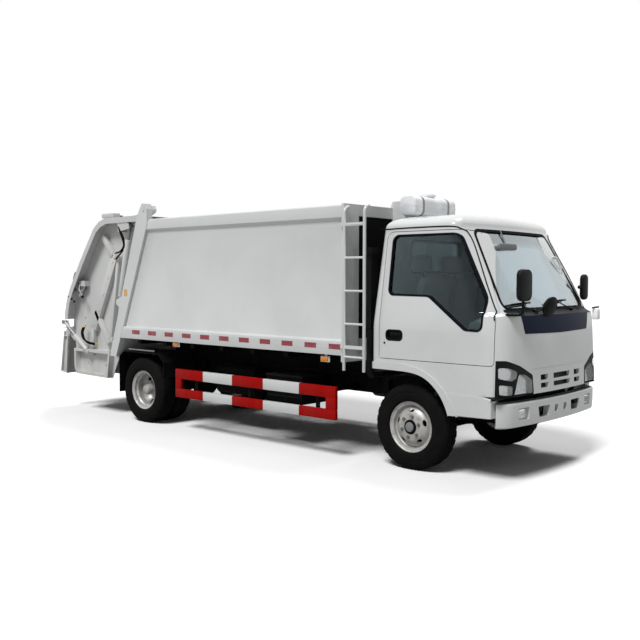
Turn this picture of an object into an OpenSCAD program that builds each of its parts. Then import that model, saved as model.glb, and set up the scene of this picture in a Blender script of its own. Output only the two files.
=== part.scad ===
// Rear-loading refuse compactor truck on a light cab-over chassis.
// +X is forward, +Y is the vehicle's left, +Z is up; the ground is z = 0.

/* [Chassis] */
// Distance between the front and rear axles
wheelbase = 3815; // [3500:5:4200]
// Front axle, ahead of the vehicle's middle
front_axle_x = 2340; // [2200:5:2500]
// Outer radius of every tyre
tyre_r = 385; // [360:1:400]
// Width of one tyre
tyre_w = 214; // [190:1:220]
// Radius of the rim's outer flange
flange_r = 228; // [215:1:240]
// Centre of a front tyre, out from the middle
front_track_y = 772; // [760:1:790]
// Centre of an outer rear tyre, out from the middle
rear_track_y = 856; // [850:1:870]
// Distance between the centres of twin tyres
twin_pitch = 240; // [236:1:250]
// Outer face of a frame rail, out from the middle
rail_y = 375; // [340:5:380]
// Height of the frame rails' top
rail_top_z = 760; // [740:5:780]
// Depth of a frame rail
rail_h = 190; // [150:5:210]

/* [Cab] */
// Half of the cab's width at the belt line
cab_half_w = 930; // [915:1:935]
// Half of the cab's width at the gutter
gutter_half_w = 830; // [800:5:860]
// Thickness of the cab's walls and doors
cab_wall = 38; // [30:1:42]
// Height of the middle of the roof
roof_z = 2284; // [2260:1:2300]
// Height of the gutter
gutter_z = 2150; // [2140:1:2160]
// Gap round a door
door_gap = 7; // [6:1:9]
// Radius of the steering wheel
wheel_r = 205; // [180:5:215]

/* [Container] */
// Length of the container along its sill
box_len = 3396; // [3200:2:3500]
// Half of the container's width over its sills
box_half_w = 1024; // [1010:1:1030]
// Height of the container's floor
floor_z = 1010; // [1005:1:1020]
// Height of the container's roof
box_top_z = 2390; // [2340:5:2420]
// Thickness of the container's sheets
sheet = 6; // [5:1:8]
// Lean of the rear posts, as travel in x for each unit of height
post_lean = 0.3415; // [0.32:0.005:0.36]

/* [Tailgate] */
// Inner face of a hopper side plate, out from the middle
hopper_half_w = 862; // [850:1:866]
// Thickness of a hopper side plate
side_plate = 10; // [8:1:12]
// Outer face of the tailgate's rims, out from the middle
rim_half_w = 1004; // [990:1:1010]
// Inner radius of the hopper's bowl
bowl_r = 552; // [545:1:560]
// Length of the sweep blade from its pin to its tip
blade_len = 528; // [500:1:532]
// Travel of the packer plate down its guides
packer_travel = 600; // [500:10:620]

/* [Lift] */
// Outer radius of a tailgate cylinder
lift_r = 38; // [32:1:40]
// Outer radius of a packer or sweep cylinder
ram_r = 36; // [30:1:40]

/* [Hidden] */
$fn = 48;
eps = 0.01;
white = "whitesmoke";
iron = "dimgray";

rear_axle_x = front_axle_x - wheelbase;
cab_back_x = front_axle_x - 391;
box_front_x = front_axle_x - 674;
box_rear_x = box_front_x - box_len;
box_inner_y = box_half_w - 18;

// Rear face of the post at a height, and the tailgate's front face behind it
post_foot_z = 760;
post_rear_x0 = box_rear_x - 303;
seal_gap = 12;
function post_rear(z) = post_rear_x0 + post_lean * (z - post_foot_z);
function post_front(z) = post_rear(z) + 126 + 0.062 * (z - post_foot_z);
function gate_front(z) = post_rear(z) - seal_gap;

// Tailgate hinge, in the ears on top of the posts
hinge = [post_rear_x0 + 688, 2500];

// Packer guides: s runs up them from the blade's pin, o runs behind them
guide_up = [0.458, 0.889];
guide_back = [-0.889, 0.458];
blade_pin_low = [post_rear_x0 - 477, 1050];
blade_pin = blade_pin_low + guide_up * packer_travel;
function on_guide(s, o) = blade_pin + guide_up * s + guide_back * o;

// Polyline helpers in a plane
function unit(v) = v / norm(v);
function left_of(v) = [-v[1], v[0]];
function mitre(a, b, c, d) = let(m = unit(left_of(unit(b - a)) + left_of(unit(c - b))))
    b + m * d / (m * left_of(unit(b - a)));
function shifted(p, d) = [for (i = [0:len(p) - 1])
    i == 0 ? p[0] + left_of(unit(p[1] - p[0])) * d
    : i == len(p) - 1 ? p[i] + left_of(unit(p[i] - p[i - 1])) * d
    : mitre(p[i - 1], p[i], p[i + 1], d)];
function backwards(p) = [for (i = [len(p) - 1:-1:0]) p[i]];
function band(p, d) = concat(p, backwards(shifted(p, d)));
function arc(c, r, a0, a1, n) = [for (i = [0:n]) let(a = a0 + (a1 - a0) * i / n)
    c + r * [cos(a), sin(a)]];

// A side-view outline (x, z) drawn across from y0 to y1
module across(y0, y1) {
    translate([0, y1, 0]) rotate([90, 0, 0]) linear_extrude(y1 - y0) children();
}
// A front-view outline (y, z) drawn along from x0 to x1
module along(x0, x1) {
    translate([x0, 0, 0]) rotate([90, 0, 90]) linear_extrude(x1 - x0) children();
}
module both_sides() {
    children();
    mirror([0, 1, 0]) children();
}
// A cylinder across the vehicle, centred on (x, z) from y0 to y1
module crossbar(p, r, y0, y1) {
    translate([p[0], y1, p[1]]) rotate([90, 0, 0]) cylinder(r = r, h = y1 - y0);
}
// A block given by its corners
module block(low, high) {
    translate(low) cube(high - low);
}

// ---- Chassis ----
rail_in_y = rail_y - 65;
rail_rear_x = post_rear_x0 + 25;
rail_front_x = front_axle_x + 868;
// The cab tips forward on two pins, each through a lug on the rail and a split boss on the cab
tilt_pin = [front_axle_x + 990, rail_top_z];
tilt_pin_r = 12;
tilt_eye_r = 22;
tilt_lug_y = rail_in_y + 20;
tilt_lug_t = 14;
module frame_rails() {
    color(iron) difference() {
        union() {
            both_sides() difference() {
                block([rail_rear_x, rail_in_y, rail_top_z - rail_h], [rail_front_x, rail_y, rail_top_z]);
                block([rail_rear_x - 1, rail_in_y - 1, rail_top_z - rail_h + 7],
                    [rail_front_x + 1, rail_y - 7, rail_top_z - 7]);
            }
            for (x = [rail_rear_x + 20, rear_axle_x + 500, rear_axle_x + 1400, rear_axle_x + 2300])
                block([x, -rail_y + 7, rail_top_z - 140], [x + 60, rail_y - 7, rail_top_z - 20]);
            block([rail_front_x - 80, -rail_y + 7, rail_top_z - rail_h],
                [rail_front_x, rail_y - 7, rail_top_z - 20]);
            both_sides() block([rail_front_x, rail_in_y, rail_top_z - rail_h],
                [rail_front_x + 120, rail_y, rail_top_z - 92]);
        }
        both_sides() crossbar([rail_front_x + 80, rail_top_z - 130], 16, rail_in_y - 1, rail_y + 1);
        block([rail_front_x - 12, -rail_y - 1, rail_top_z - 32],
            [rail_front_x + 1, rail_y + 1, rail_top_z + 1]);
    }
    color(iron) both_sides() {
        across(tilt_lug_y, tilt_lug_y + tilt_lug_t) {
            translate(tilt_pin) circle(r = tilt_eye_r - 2);
            polygon([tilt_pin + [-10, 12], tilt_pin + [12, -10], [rail_front_x + 65, rail_top_z - 97],
                [rail_front_x + 25, rail_top_z - 97]]);
        }
        crossbar(tilt_pin, tilt_pin_r, tilt_lug_y - 17, tilt_lug_y + tilt_lug_t + 17);
    }
}

engine_x0 = front_axle_x - 560;
module engine() {
    color("gray") {
        block([engine_x0, -270, 470], [front_axle_x + 330, 270, 880]);
        translate([engine_x0 - 480, 0, shaft_z]) rotate([0, 90, 0]) cylinder(r = 120, h = 480 + eps);
    }
}

// Leaf springs lie under the rails at the middle of the rail's flange
spring_y = rail_y + 32;
module leaf_spring(x, z, len) {
    chord = len / 2;
    across(spring_y - 30, spring_y + 30)
        polygon(band([for (i = [-6:6]) [x + chord * i / 6, z + 70 * pow(i / 6, 2)]], 40));
    for (s = [-1, 1]) translate([x + s * chord, 0, 0])
        block([-25, spring_y - 32, z + 60], [25, spring_y + 32, z + 150]);
}
king_y = 668;
axle_z = tyre_r;
module front_axle() {
    color(iron) {
        difference() {
            union() {
                block([front_axle_x - 35, -520, axle_z - 80], [front_axle_x + 35, 520, axle_z - 10]);
                both_sides() {
                    along(front_axle_x - 35, front_axle_x + 35) polygon([[500, axle_z - 80],
                        [600, axle_z - 45], [king_y + 28, axle_z - 45], [king_y + 28, axle_z + 45],
                        [600, axle_z + 45], [500, axle_z - 10]]);
                }
            }
            both_sides() translate([front_axle_x, king_y, 0]) cylinder(r = 18.05, h = 800);
        }
        both_sides() leaf_spring(front_axle_x, axle_z - 10, 1180);
        both_sides() for (x = [-590, 590]) block([front_axle_x + x - 25, rail_y, axle_z + 130],
            [front_axle_x + x + 25, spring_y + 32, rail_top_z - 40]);
    }
}

module rear_axle() {
    color(iron) {
        crossbar([rear_axle_x, axle_z], 62, -460, 460);
        both_sides() crossbar([rear_axle_x, axle_z], 40, 459, rear_track_y + 50);
        translate([rear_axle_x, 0, axle_z]) sphere(r = 165);
        both_sides() {
            leaf_spring(rear_axle_x, axle_z + 62, 1000);
            for (x = [-500, 500]) block([rear_axle_x + x - 25, rail_y, axle_z + 190],
                [rear_axle_x + x + 25, spring_y + 32, rail_top_z - 30]);
        }
    }
}

shaft_z = 600;
module driveshaft() {
    x0 = rear_axle_x + 166;
    x1 = engine_x0 - 484;
    color("gray") translate([x1, 0, shaft_z]) rotate([0, atan2(x0 - x1, axle_z - shaft_z), 0])
        cylinder(r = 42, h = norm([x1 - x0, shaft_z - axle_z]));
}

module fuel_tank() {
    color(iron) {
        difference() {
            block([180, 480, 430], [830, 860, 740]);
            for (z = [430, 740]) for (y = [480, 860]) translate([179, y, z]) rotate([0, 90, 0])
                rotate([0, 0, 45]) cube([50, 50, 1400], center = true);
        }
        for (x = [260, 640]) block([x, rail_y, 560], [x + 50, 480 + eps, 720]);
    }
}
module battery_box() {
    color(iron) {
        block([500, -840, 440], [1000, -480, 720]);
        for (x = [560, 880]) block([x, -480 - eps, 560], [x + 50, -rail_y, 700]);
    }
}
module air_tanks() {
    color(iron) {
        for (z = [490, 665]) translate([-520, -560, z]) rotate([0, 90, 0]) cylinder(r = 80, h = 620);
        for (x = [-440, 0]) block([x, -490, 470], [x + 40, -rail_y, 700]);
    }
}
module silencer() {
    color("gray") {
        translate([-420, 560, 560]) rotate([0, 90, 0]) cylinder(r = 110, h = 460);
        translate([39, 560, 560]) rotate([0, 90, 0]) cylinder(r = 35, h = 80);
        for (x = [-360, -60]) block([x, rail_y, 540], [x + 40, 455, 660]);
    }
}

guard_x0 = front_axle_x - 3142;
guard_x1 = front_axle_x - 760;
guard_mid_x = 118;
module side_guards() {
    color("firebrick") both_sides() {
        difference() {
            block([guard_x0, 965, 372], [guard_x1, 1000, 688]);
            block([guard_x0 + 96, 960, 468], [guard_x1 - 125, 1010, 580]);
        }
        for (x = [guard_x0 + 40, guard_mid_x, guard_x1 - 90])
            block([x, rail_y, 600], [x + 50, 965 + eps, 650]);
    }
}

module rear_mudguards() {
    cover = concat([[rear_axle_x - 425, 330], [rear_axle_x - 425, 760]],
        [[rear_axle_x - 330, 830], [rear_axle_x + 330, 830]],
        [[rear_axle_x + 440, 740], [rear_axle_x + 440, 560]]);
    color(iron) both_sides() {
        across(500, 985) polygon(band(backwards(cover), 5));
        for (x = [-300, 250]) block([rear_axle_x + x, rail_y, 700],
            [rear_axle_x + x + 40, 500 + eps, 750]);
        for (x = [-300, 250]) block([rear_axle_x + x, 497, 700], [rear_axle_x + x + 40, 503, 831]);
    }
}

// Plan outline (x, y) of the nose, drawn in by a wall's thickness
nose_x = front_axle_x + 1045;
nose_side_r = 135;
function nose(w, half, grow) = let(cx = nose_x - 52 - nose_side_r, cy = half - nose_side_r)
    concat([[cab_back_x - 200, half - w]],
        arc([cx, cy], nose_side_r - w + grow, 90, 20, 6),
        [for (y = [0.72, 0.48, 0.24, 0, -0.24, -0.48, -0.72])
            [nose_x + grow - w - 60 * pow(y, 2), y * half]],
        arc([cx, -cy], nose_side_r - w + grow, -20, -90, 6),
        [[cab_back_x - 200, w - half]]);

bumper_z0 = 468;
bumper_z1 = 688;
module front_bumper() {
    color(white) {
        difference() {
            translate([0, 0, bumper_z0]) linear_extrude(bumper_z1 - bumper_z0)
                polygon(nose(0, cab_half_w - 8, 24));
            translate([0, 0, bumper_z0 - 1]) linear_extrude(bumper_z1 - bumper_z0 - 5)
                polygon(nose(12, cab_half_w - 8, 24));
            block([0, -1000, bumper_z0 - 2], [front_axle_x + 872, 1000, bumper_z1 + 2]);
            both_sides() block([rail_front_x + 36, tilt_lug_y - 4, bumper_z1 - 10],
                [rail_front_x + 90, tilt_lug_y + tilt_lug_t + 4, bumper_z1 + 2]);
            both_sides() {
                block([3300, 130, 524], [3500, 430, 634]);
                block([3300, 560, 530], [3500, 760, 612]);
            }
        }
        both_sides() block([rail_front_x + 120.3, rail_in_y + 2, rail_top_z - rail_h],
            [nose_x + 8, rail_y - 4, rail_top_z - 92]);
    }
}

// ---- Container ----
sill_z0 = 990;
sill_z1 = 1130;
rail_z0 = 2240;
function box_end(z) = post_front(z) + 0.3;
module container_shell() {
    side = [[box_end(sill_z0), sill_z0], [box_front_x, sill_z0], [box_front_x, box_top_z - 8],
        [box_end(box_top_z - 8), box_top_z - 8]];
    sill = [[box_end(sill_z0), sill_z0], [box_front_x, sill_z0], [box_front_x, sill_z1],
        [box_end(sill_z1), sill_z1]];
    rail = [[box_end(rail_z0), rail_z0], [box_front_x, rail_z0],
        [box_front_x, box_top_z - 8], [box_end(box_top_z - 8), box_top_z - 8]];
    floor_line = [[box_end(floor_z - 8), floor_z - 8], [box_front_x, floor_z - 8],
        [box_front_x, floor_z], [box_end(floor_z), floor_z]];
    roof = [[box_end(box_top_z - 8), box_top_z - 8], [box_front_x, box_top_z - 8],
        [box_front_x, box_top_z - 2], [box_end(box_top_z - 2), box_top_z - 2]];
    color(white) {
        both_sides() {
            across(box_inner_y, box_inner_y + sheet) polygon(side);
            across(box_inner_y + sheet - eps, box_half_w) polygon(sill);
            across(box_inner_y + sheet - eps, box_half_w - 4) polygon(rail);
            block([box_front_x - 3250, rail_in_y, rail_top_z + 0.3],
                [box_front_x, rail_y, floor_z - 8 + eps]);
        }
        across(-box_inner_y - eps, box_inner_y + eps) polygon(floor_line);
        across(-box_inner_y - sheet, box_inner_y + sheet) polygon(roof);
        for (i = [0:6]) block([box_front_x - 300 - i * 480, -box_inner_y, floor_z - 78],
            [box_front_x - 240 - i * 480, box_inner_y, floor_z - 8 + eps]);
    }
}

hood_len = 185;
front_t = 34;
module container_front() {
    hood_side = [[box_front_x, 2150], [box_front_x, box_top_z], [box_front_x + 30, 2455],
        [box_front_x + 130, 2455], [box_front_x + hood_len, 2340], [box_front_x + hood_len, 2240],
        [box_front_x + 100, 2150]];
    color(white) {
        both_sides() block([box_front_x + 0.3, 810, sill_z0], [box_front_x + front_t, box_half_w, 2388]);
        both_sides() block([box_front_x + 0.3, 230, sill_z0], [box_front_x + front_t, 290, 2287]);
        block([box_front_x + 0.3, -810 - eps, sill_z0], [box_front_x + 20, 810 + eps, 2290]);
        block([box_front_x + 0.3, -box_half_w, 2286], [box_front_x + front_t, box_half_w, 2392]);
        translate([0.3, 0, 0]) across(-290, 290) polygon(hood_side);
        block([box_front_x + 0.3, -box_half_w, sill_z0 - 60],
            [box_front_x + front_t, box_half_w, sill_z0 + eps]);
    }
}

peak = [[post_front(2330), 2330], [hinge[0] + 62, 2500], [hinge[0] + 40, 2560],
    [hinge[0] - 25, 2568], [hinge[0] - 72, 2500], [post_rear(2400), 2400]];
module rear_posts() {
    post = concat([[post_rear(post_foot_z), post_foot_z], [post_front(post_foot_z), post_foot_z]],
        peak);
    color(white) {
        difference() {
            both_sides() across(944, box_half_w + 2) polygon(post);
            crossbar(hinge, 25.05, -1100, 1100);
        }
        across(-945, 945) polygon([[post_rear(2290) + 60, 2290], [post_front(2290), 2290],
            [post_front(2380), 2380], [post_rear(2380) + 60, 2380]]);
        across(-945, 945) polygon([[post_rear(800) + 5, 800], [post_front(800), 800],
            [post_front(floor_z) - 20, floor_z], [post_rear(floor_z) + 5, floor_z]]);
        both_sides() crossbar(hinge, 25, 880, 943.9);
        both_sides() crossbar(hinge, 24.9, 943.8, box_half_w + 8);
        both_sides() lift_lug();
    }
}

// ---- Tailgate lift cylinders: foot on the post, eye on the tailgate ----
// Gap between a rod's eye and the pin stubs beside it, which leave the eye free to drift
eye_gap = 0.5;
lift_foot = [post_rear_x0 + 128, 1420];
lift_eye = [post_rear_x0 + 333, 2320];
lift_y = 958;
lift_barrel_len = 760;
lift_closed = norm(lift_eye - lift_foot);
lift_angle = atan2(lift_eye[0] - lift_foot[0], lift_eye[1] - lift_foot[1]);
module lift_lug() {
    for (y = [lift_y - 40, lift_y + 28]) difference() {
        across(y, y + 12) polygon([[post_rear(1330) + 10, 1330], [post_rear(1510) + 10, 1510],
            lift_foot + [-30, 20], lift_foot + [-30, -30]]);
        crossbar(lift_foot, 20.05, y - 1, y + 13);
    }
    crossbar(lift_foot, 20, lift_y - 42, lift_y + 42);
}
module lift_barrels() {
    color(white) both_sides() translate([lift_foot[0], lift_y, lift_foot[1]])
        rotate([0, lift_angle, 0]) difference() {
            union() {
                translate([0, 0, 66]) cylinder(r = lift_r, h = lift_barrel_len - 66);
                cylinder(r = 24, h = 67);
                rotate([90, 0, 0]) cylinder(r = 36, h = 50, center = true);
            }
            translate([0, 0, 70]) cylinder(r = 20.05, h = 800);
            rotate([90, 0, 0]) cylinder(r = 20.05, h = 60, center = true);
        }
}
module lift_rods() {
    color("silver") both_sides() translate([lift_foot[0], lift_y, lift_foot[1]])
        rotate([0, lift_angle, 0]) {
            translate([0, 0, 90]) cylinder(r = 20, h = lift_closed - 120);
            translate([0, 0, lift_closed]) rotate([90, 0, 0]) cylinder(r = 34, h = 42, center = true);
        }
}

// ---- Ejector plate ----
eject_x = box_front_x - 586;
module ejector_plate() {
    face_top = 2300;
    foot = floor_z + 0.3;
    function face(z) = eject_x + post_lean * (z - foot);
    color("gainsboro") {
        across(-925, 925) polygon([[face(foot), foot], [face(foot) + 40, foot],
            [face(face_top) + 40, face_top], [face(face_top), face_top]]);
        for (y = [-880, -300, 280, 860]) across(y, y + 20) polygon([[face(foot) + 39, foot],
            [eject_x + 520, foot], [eject_x + 520, foot + 80], [face(face_top) + 39, face_top]]);
    }
}

// ---- Tailgate ----
low_z = 458;
rear_rim_end = 1170;
rear_edge = [[gate_front(2436), 2436], [post_rear_x0 - 106, 2436], [post_rear_x0 - 250, 2395],
    [post_rear_x0 - 369, 2313], [post_rear_x0 - 520, 2120], [post_rear_x0 - 672, 1921],
    [post_rear_x0 - 800, 1735], [post_rear_x0 - 915, 1565], [post_rear_x0 - 1000, 1400],
    [post_rear_x0 - 1043, 1240], [post_rear_x0 - 1043, 1040]];
rim_lip = 70;
rim_edge = concat([[gate_front(2436 - rim_lip), 2436]], [for (i = [1:9]) rear_edge[i]],
    [[post_rear_x0 - 1043, rear_rim_end]]);
gate_plate = concat(rear_edge, [[post_rear_x0 - 930, 560], [post_rear_x0 - 877, 469],
    [post_rear_x0 - 178, low_z], [gate_front(750), 750]]);
hinge_arm = [hinge + [52, 0], hinge + [30, 42], hinge + [-20, 48], [gate_front(2436) - 120, 2450],
    [gate_front(2436) - 330, 2437], [gate_front(2330) - 320, 2330], [gate_front(2330), 2330],
    [gate_front(2400), 2400],
    hinge + [0, -50], hinge + [38, -36]];
module tailgate_sides() {
    color(white) both_sides() {
        difference() {
            union() {
                across(hopper_half_w, hopper_half_w + side_plate) polygon(gate_plate);
                across(hopper_half_w + side_plate - eps, rim_half_w) polygon(band(rim_edge, 14));
                across(rim_half_w - 10, rim_half_w) polygon(band(rim_edge, rim_lip));
                across(hopper_half_w + side_plate - eps, rim_half_w - 96)
                    polygon(band([[gate_front(760), 760], [gate_front(2330), 2330]], 60));
                across(hopper_half_w + side_plate - eps, 936) polygon(hinge_arm);
            }
            crossbar(hinge, 25.05, 800, 940);
        }
        lift_bracket();
        guide_rails();
        lifter_lug();
    }
}
module lift_bracket() {
    for (y = [lift_y - 37, lift_y + 27]) across(y, y + 10) polygon([
        lift_eye + [34, -30], lift_eye + [24, 30], lift_eye + [-60, 70],
        lift_eye + [-190, 60], lift_eye + [-190, -60]]);
    crossbar(lift_eye, 18, lift_y - 37, lift_y - 21 - eye_gap);
    crossbar(lift_eye, 18, lift_y + 21 + eye_gap, lift_y + 37);
    block([lift_eye[0] - 190, hopper_half_w + side_plate - eps, lift_eye[1] - 60],
        [lift_eye[0] - 150, rim_half_w - 9, lift_eye[1] + 60]);
}
module guide_rails() {
    for (o = [36, -60]) across(hopper_half_w - 16, hopper_half_w + eps)
        polygon([on_guide(-640, o), on_guide(-640, o + 24), on_guide(740, o + 24), on_guide(740, o)]);
}

module tailgate_hood() {
    top_line = [for (i = [0:6]) rear_edge[i]];
    color(white) {
        across(-hopper_half_w, hopper_half_w) polygon(band(top_line, 8));
        across(-hopper_half_w, hopper_half_w) polygon([rear_edge[6] + [8, 8], rear_edge[6] + [60, 90],
            rear_edge[6] + [110, 60], rear_edge[6] + [60, -30]]);
    }
}

bowl_arc = arc(blade_pin_low, bowl_r, 180, 325, 18);
module hopper_bowl() {
    lip = [blade_pin_low[0] - bowl_r, 1052];
    color(white) {
        across(-hopper_half_w, hopper_half_w) polygon(band(bowl_arc, -8));
        across(-hopper_half_w, hopper_half_w) polygon([lip, lip + [-8, 0], lip + [-26, -60],
            lip + [-8, -60]]);
        across(-hopper_half_w, hopper_half_w) polygon([[bowl_arc[18][0], bowl_arc[18][1]],
            [bowl_arc[18][0] + 6, bowl_arc[18][1] - 4], [gate_front(floor_z) , floor_z],
            [gate_front(floor_z) - 8, floor_z]]);
        for (y = [-600, 0, 600]) across(y - 4, y + 4) polygon([[post_rear_x0 - 700, 475],
            [post_rear_x0 - 250, 475], blade_pin_low + [250, -bowl_r + 55],
            blade_pin_low + [0, -bowl_r - 7], blade_pin_low + [-250, -bowl_r + 55]]);
    }
}

// Packer cylinders stand on the tailgate's roof and push the plate down
packer_y = 640;
packer_o = 130;
module ram_at(y, from, dir_angle) {
    translate([from[0], y, from[1]]) rotate([0, dir_angle, 0]) children();
}
guide_down_angle = atan2(-guide_up[0], -guide_up[1]);
packer_top = on_guide(800, packer_o);
module packer_barrels() {
    color(white) both_sides() {
        ram_at(packer_y, packer_top, guide_down_angle) difference() {
            cylinder(r = ram_r, h = 700);
            translate([0, 0, 30]) cylinder(r = 22.05, h = 700);
        }
        block([packer_top[0] - 60, packer_y - 60, packer_top[1] - 2],
            [packer_top[0] + 60, packer_y + 60, packer_top[1] + 30]);
        crossbar(packer_top + [0, 14], 24, packer_y + 59, hopper_half_w);
    }
}
module packer_rods() {
    color("silver") both_sides() {
        difference() {
            union() {
                ram_at(packer_y, packer_top, guide_down_angle) translate([0, 0, 50])
                    cylinder(r = 22, h = 690);
                crossbar(on_guide(60, packer_o), 34, packer_y - 30, packer_y + 30);
            }
            crossbar(on_guide(60, packer_o), 16, packer_y - 31, packer_y + 31);
        }
    }
}

plate_t = 30;
module packer_plate() {
    color("gainsboro") {
        difference() {
            union() {
                across(-842, 842) polygon([on_guide(80, -plate_t), on_guide(80, plate_t),
                    on_guide(740, plate_t), on_guide(740, -plate_t)]);
                both_sides() across(841, hopper_half_w - 3) polygon([on_guide(60, -plate_t),
                    on_guide(60, plate_t), on_guide(740, plate_t), on_guide(740, -plate_t)]);
                for (y = [-830, -300, 260, 790]) across(y, y + 40) polygon([on_guide(90, -plate_t),
                    on_guide(90, plate_t), blade_pin + [-45, 20], blade_pin + [-20, -45],
                    blade_pin + [40, -20]]);
            }
            crossbar(blade_pin, 25.05, -900, 900);
        }
        crossbar(blade_pin, 25, -830, 830);
        both_sides() for (y = [packer_y - 48, packer_y + 36]) difference() {
            across(y, y + 12) polygon([on_guide(90, plate_t - 1), on_guide(200, plate_t - 1),
                on_guide(100, packer_o + 30), on_guide(30, packer_o + 30), on_guide(30, packer_o - 30)]);
            crossbar(on_guide(60, packer_o), 16, y - 1, y + 13);
        }
        both_sides() crossbar(on_guide(60, packer_o), 15.9, packer_y - 48, packer_y + 48);
        both_sides() for (y = [sweep_y - 46, sweep_y + 34]) across(y, y + 12) polygon([
            on_guide(640, plate_t - 1), on_guide(735, plate_t - 1), sweep_top + guide_up * 30,
            sweep_top + guide_back * 30, sweep_top - guide_up * 30]);
        both_sides() crossbar(sweep_top, 16, sweep_y - 46, sweep_y + 46);
    }
}

// ---- Sweep blade: hangs from the packer plate's pin ----
blade_angle = -65;
lever_r = 230;
lever_angle = -140;
sweep_y = 380;
sweep_top = on_guide(700, 90);
sweep_eye = blade_pin + lever_r * [cos(lever_angle), sin(lever_angle)];
sweep_closed = norm(sweep_eye - sweep_top);
sweep_dir = atan2(sweep_eye[0] - sweep_top[0], sweep_eye[1] - sweep_top[1]);
module sweep_blade() {
    d = [cos(blade_angle), sin(blade_angle)];
    n = [-d[1], d[0]];
    color("gainsboro") {
        difference() {
            union() {
                across(-842, 842) polygon([blade_pin + d * 70 + n * 30, blade_pin + d * 330 + n * 62,
                    blade_pin + d * blade_len + n * 8, blade_pin + d * blade_len - n * 8,
                    blade_pin + d * 330 + n * 20, blade_pin + d * 110 - n * 30]);
                for (y = [[-785, -305], [-255, 255], [305, 785]]) {
                    crossbar(blade_pin, 46, y[0], y[1]);
                    across(y[0], y[1]) polygon([blade_pin + n * 40, blade_pin + d * 90 + n * 34,
                        blade_pin + d * 120 - n * 28, blade_pin - n * 40]);
                }
                both_sides() for (y = [sweep_y - 46, sweep_y + 34]) across(y, y + 12) polygon([
                    blade_pin + d * 300 + n * 20, blade_pin + d * 60, blade_pin - n * 40,
                    sweep_eye + [-30, 10], sweep_eye + [-10, -34], sweep_eye + [30, -26]]);
            }
            crossbar(blade_pin, 25.08, -900, 900);
        }
        both_sides() {
            crossbar(sweep_eye, 16, sweep_y - 46, sweep_y - 28 - eye_gap);
            crossbar(sweep_eye, 16, sweep_y + 28 + eye_gap, sweep_y + 46);
        }
    }
}
module sweep_barrels() {
    color(white) both_sides() ram_at(sweep_y, sweep_top, sweep_dir) difference() {
        union() {
            translate([0, 0, 30]) cylinder(r = ram_r - 4, h = 500);
            rotate([90, 0, 0]) cylinder(r = 32, h = 56, center = true);
        }
        translate([0, 0, 50]) cylinder(r = 18.05, h = 600);
        rotate([90, 0, 0]) cylinder(r = 16.05, h = 70, center = true);
    }
}
module sweep_rods() {
    color("silver") both_sides() ram_at(sweep_y, sweep_top, sweep_dir) {
        translate([0, 0, 400]) cylinder(r = 18, h = sweep_closed - 420);
        translate([0, 0, sweep_closed]) rotate([90, 0, 0]) cylinder(r = 28, h = 56, center = true);
    }
}

// ---- Bin lifter: a comb that swings about a shaft at the hopper's lip ----
lifter_pin = [post_rear_x0 - 1097, 1000];
lifter_crank = [-60, 130];
lifter_eye = lifter_pin + lifter_crank;
lifter_foot = [post_rear_x0 - 607, 775];
lifter_y = 942;
lifter_closed = norm(lifter_eye - lifter_foot);
lifter_dir = atan2(lifter_eye[0] - lifter_foot[0], lifter_eye[1] - lifter_foot[1]);
module lifter_lug() {
    difference() {
        across(hopper_half_w + side_plate - eps, hopper_half_w + side_plate + 14) polygon([
            [post_rear_x0 - 1020, 1080], lifter_pin + [-10, 46], lifter_pin + [-45, 0],
            lifter_pin + [-10, -46], [post_rear_x0 - 1000, 880]]);
        crossbar(lifter_pin, 24.05, 800, 950);
    }
    block([lifter_foot[0] - 60, hopper_half_w + side_plate - eps, lifter_foot[1] - 60],
        [lifter_foot[0] + 60, lifter_y - 34, lifter_foot[1] + 60]);
    crossbar(lifter_foot, 16, lifter_y - 35, lifter_y + 30);
}
module bin_lifter() {
    p = lifter_pin;
    color(white) {
        crossbar(p, 24, -905, 905);
        both_sides() {
            across(hopper_half_w + side_plate + 18, lifter_y - 28) polygon([p + [30, -20],
                p + [10, 30], lifter_eye + [20, 20], lifter_eye + [-20, 20], p + [-40, 0]]);
            crossbar(lifter_eye, 16, lifter_y - 29, lifter_y - 25 - eye_gap);
        }
        across(-860, 860) polygon([p + [-20, -10], p + [-20, 12], p + [-75, 12], p + [-75, -10]]);
        across(-860, 860) polygon([p + [-75, 12], p + [-95, 12], p + [-160, -555], p + [-135, -555]]);
        for (i = [-4:4]) across(i * 190 - 6, i * 190 + 6) polygon([p + [-90, 12], p + [-116, 44],
            p + [-240, -540], p + [-150, -555]]);
        both_sides() across(848, 860) polygon([p + [-75, 10], p + [-116, 44], p + [-240, -540],
            p + [-120, -560], p + [-95, -400]]);
    }
}
module lifter_barrels() {
    color(white) both_sides() ram_at(lifter_y, lifter_foot, lifter_dir) difference() {
        union() {
            translate([0, 0, 28]) cylinder(r = 32, h = 312);
            rotate([90, 0, 0]) cylinder(r = 30, h = 50, center = true);
        }
        translate([0, 0, 50]) cylinder(r = 16.05, h = 400);
        rotate([90, 0, 0]) cylinder(r = 16.05, h = 60, center = true);
    }
}
module lifter_rods() {
    color("silver") both_sides() ram_at(lifter_y, lifter_foot, lifter_dir) {
        translate([0, 0, 290]) cylinder(r = 16, h = lifter_closed - 310);
        translate([0, 0, lifter_closed]) rotate([90, 0, 0]) cylinder(r = 27, h = 50, center = true);
    }
}

// Valve block and levers on the kerb side of the tailgate
valve = [post_rear_x0 - 780, 1600];
module control_levers() {
    y = -(hopper_half_w + side_plate);
    color(iron) {
        block([valve[0], y - 80, valve[1]], [valve[0] + 130, y, valve[1] + 70]);
        for (i = [0:3]) translate([valve[0] + 20 + i * 30, y - 60, valve[1] + 5])
            rotate([0, 200 + i * 8, 0]) union() {
                cylinder(r = 5, h = 130);
                translate([0, 0, 138]) sphere(r = 14);
            }
    }
}

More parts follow.
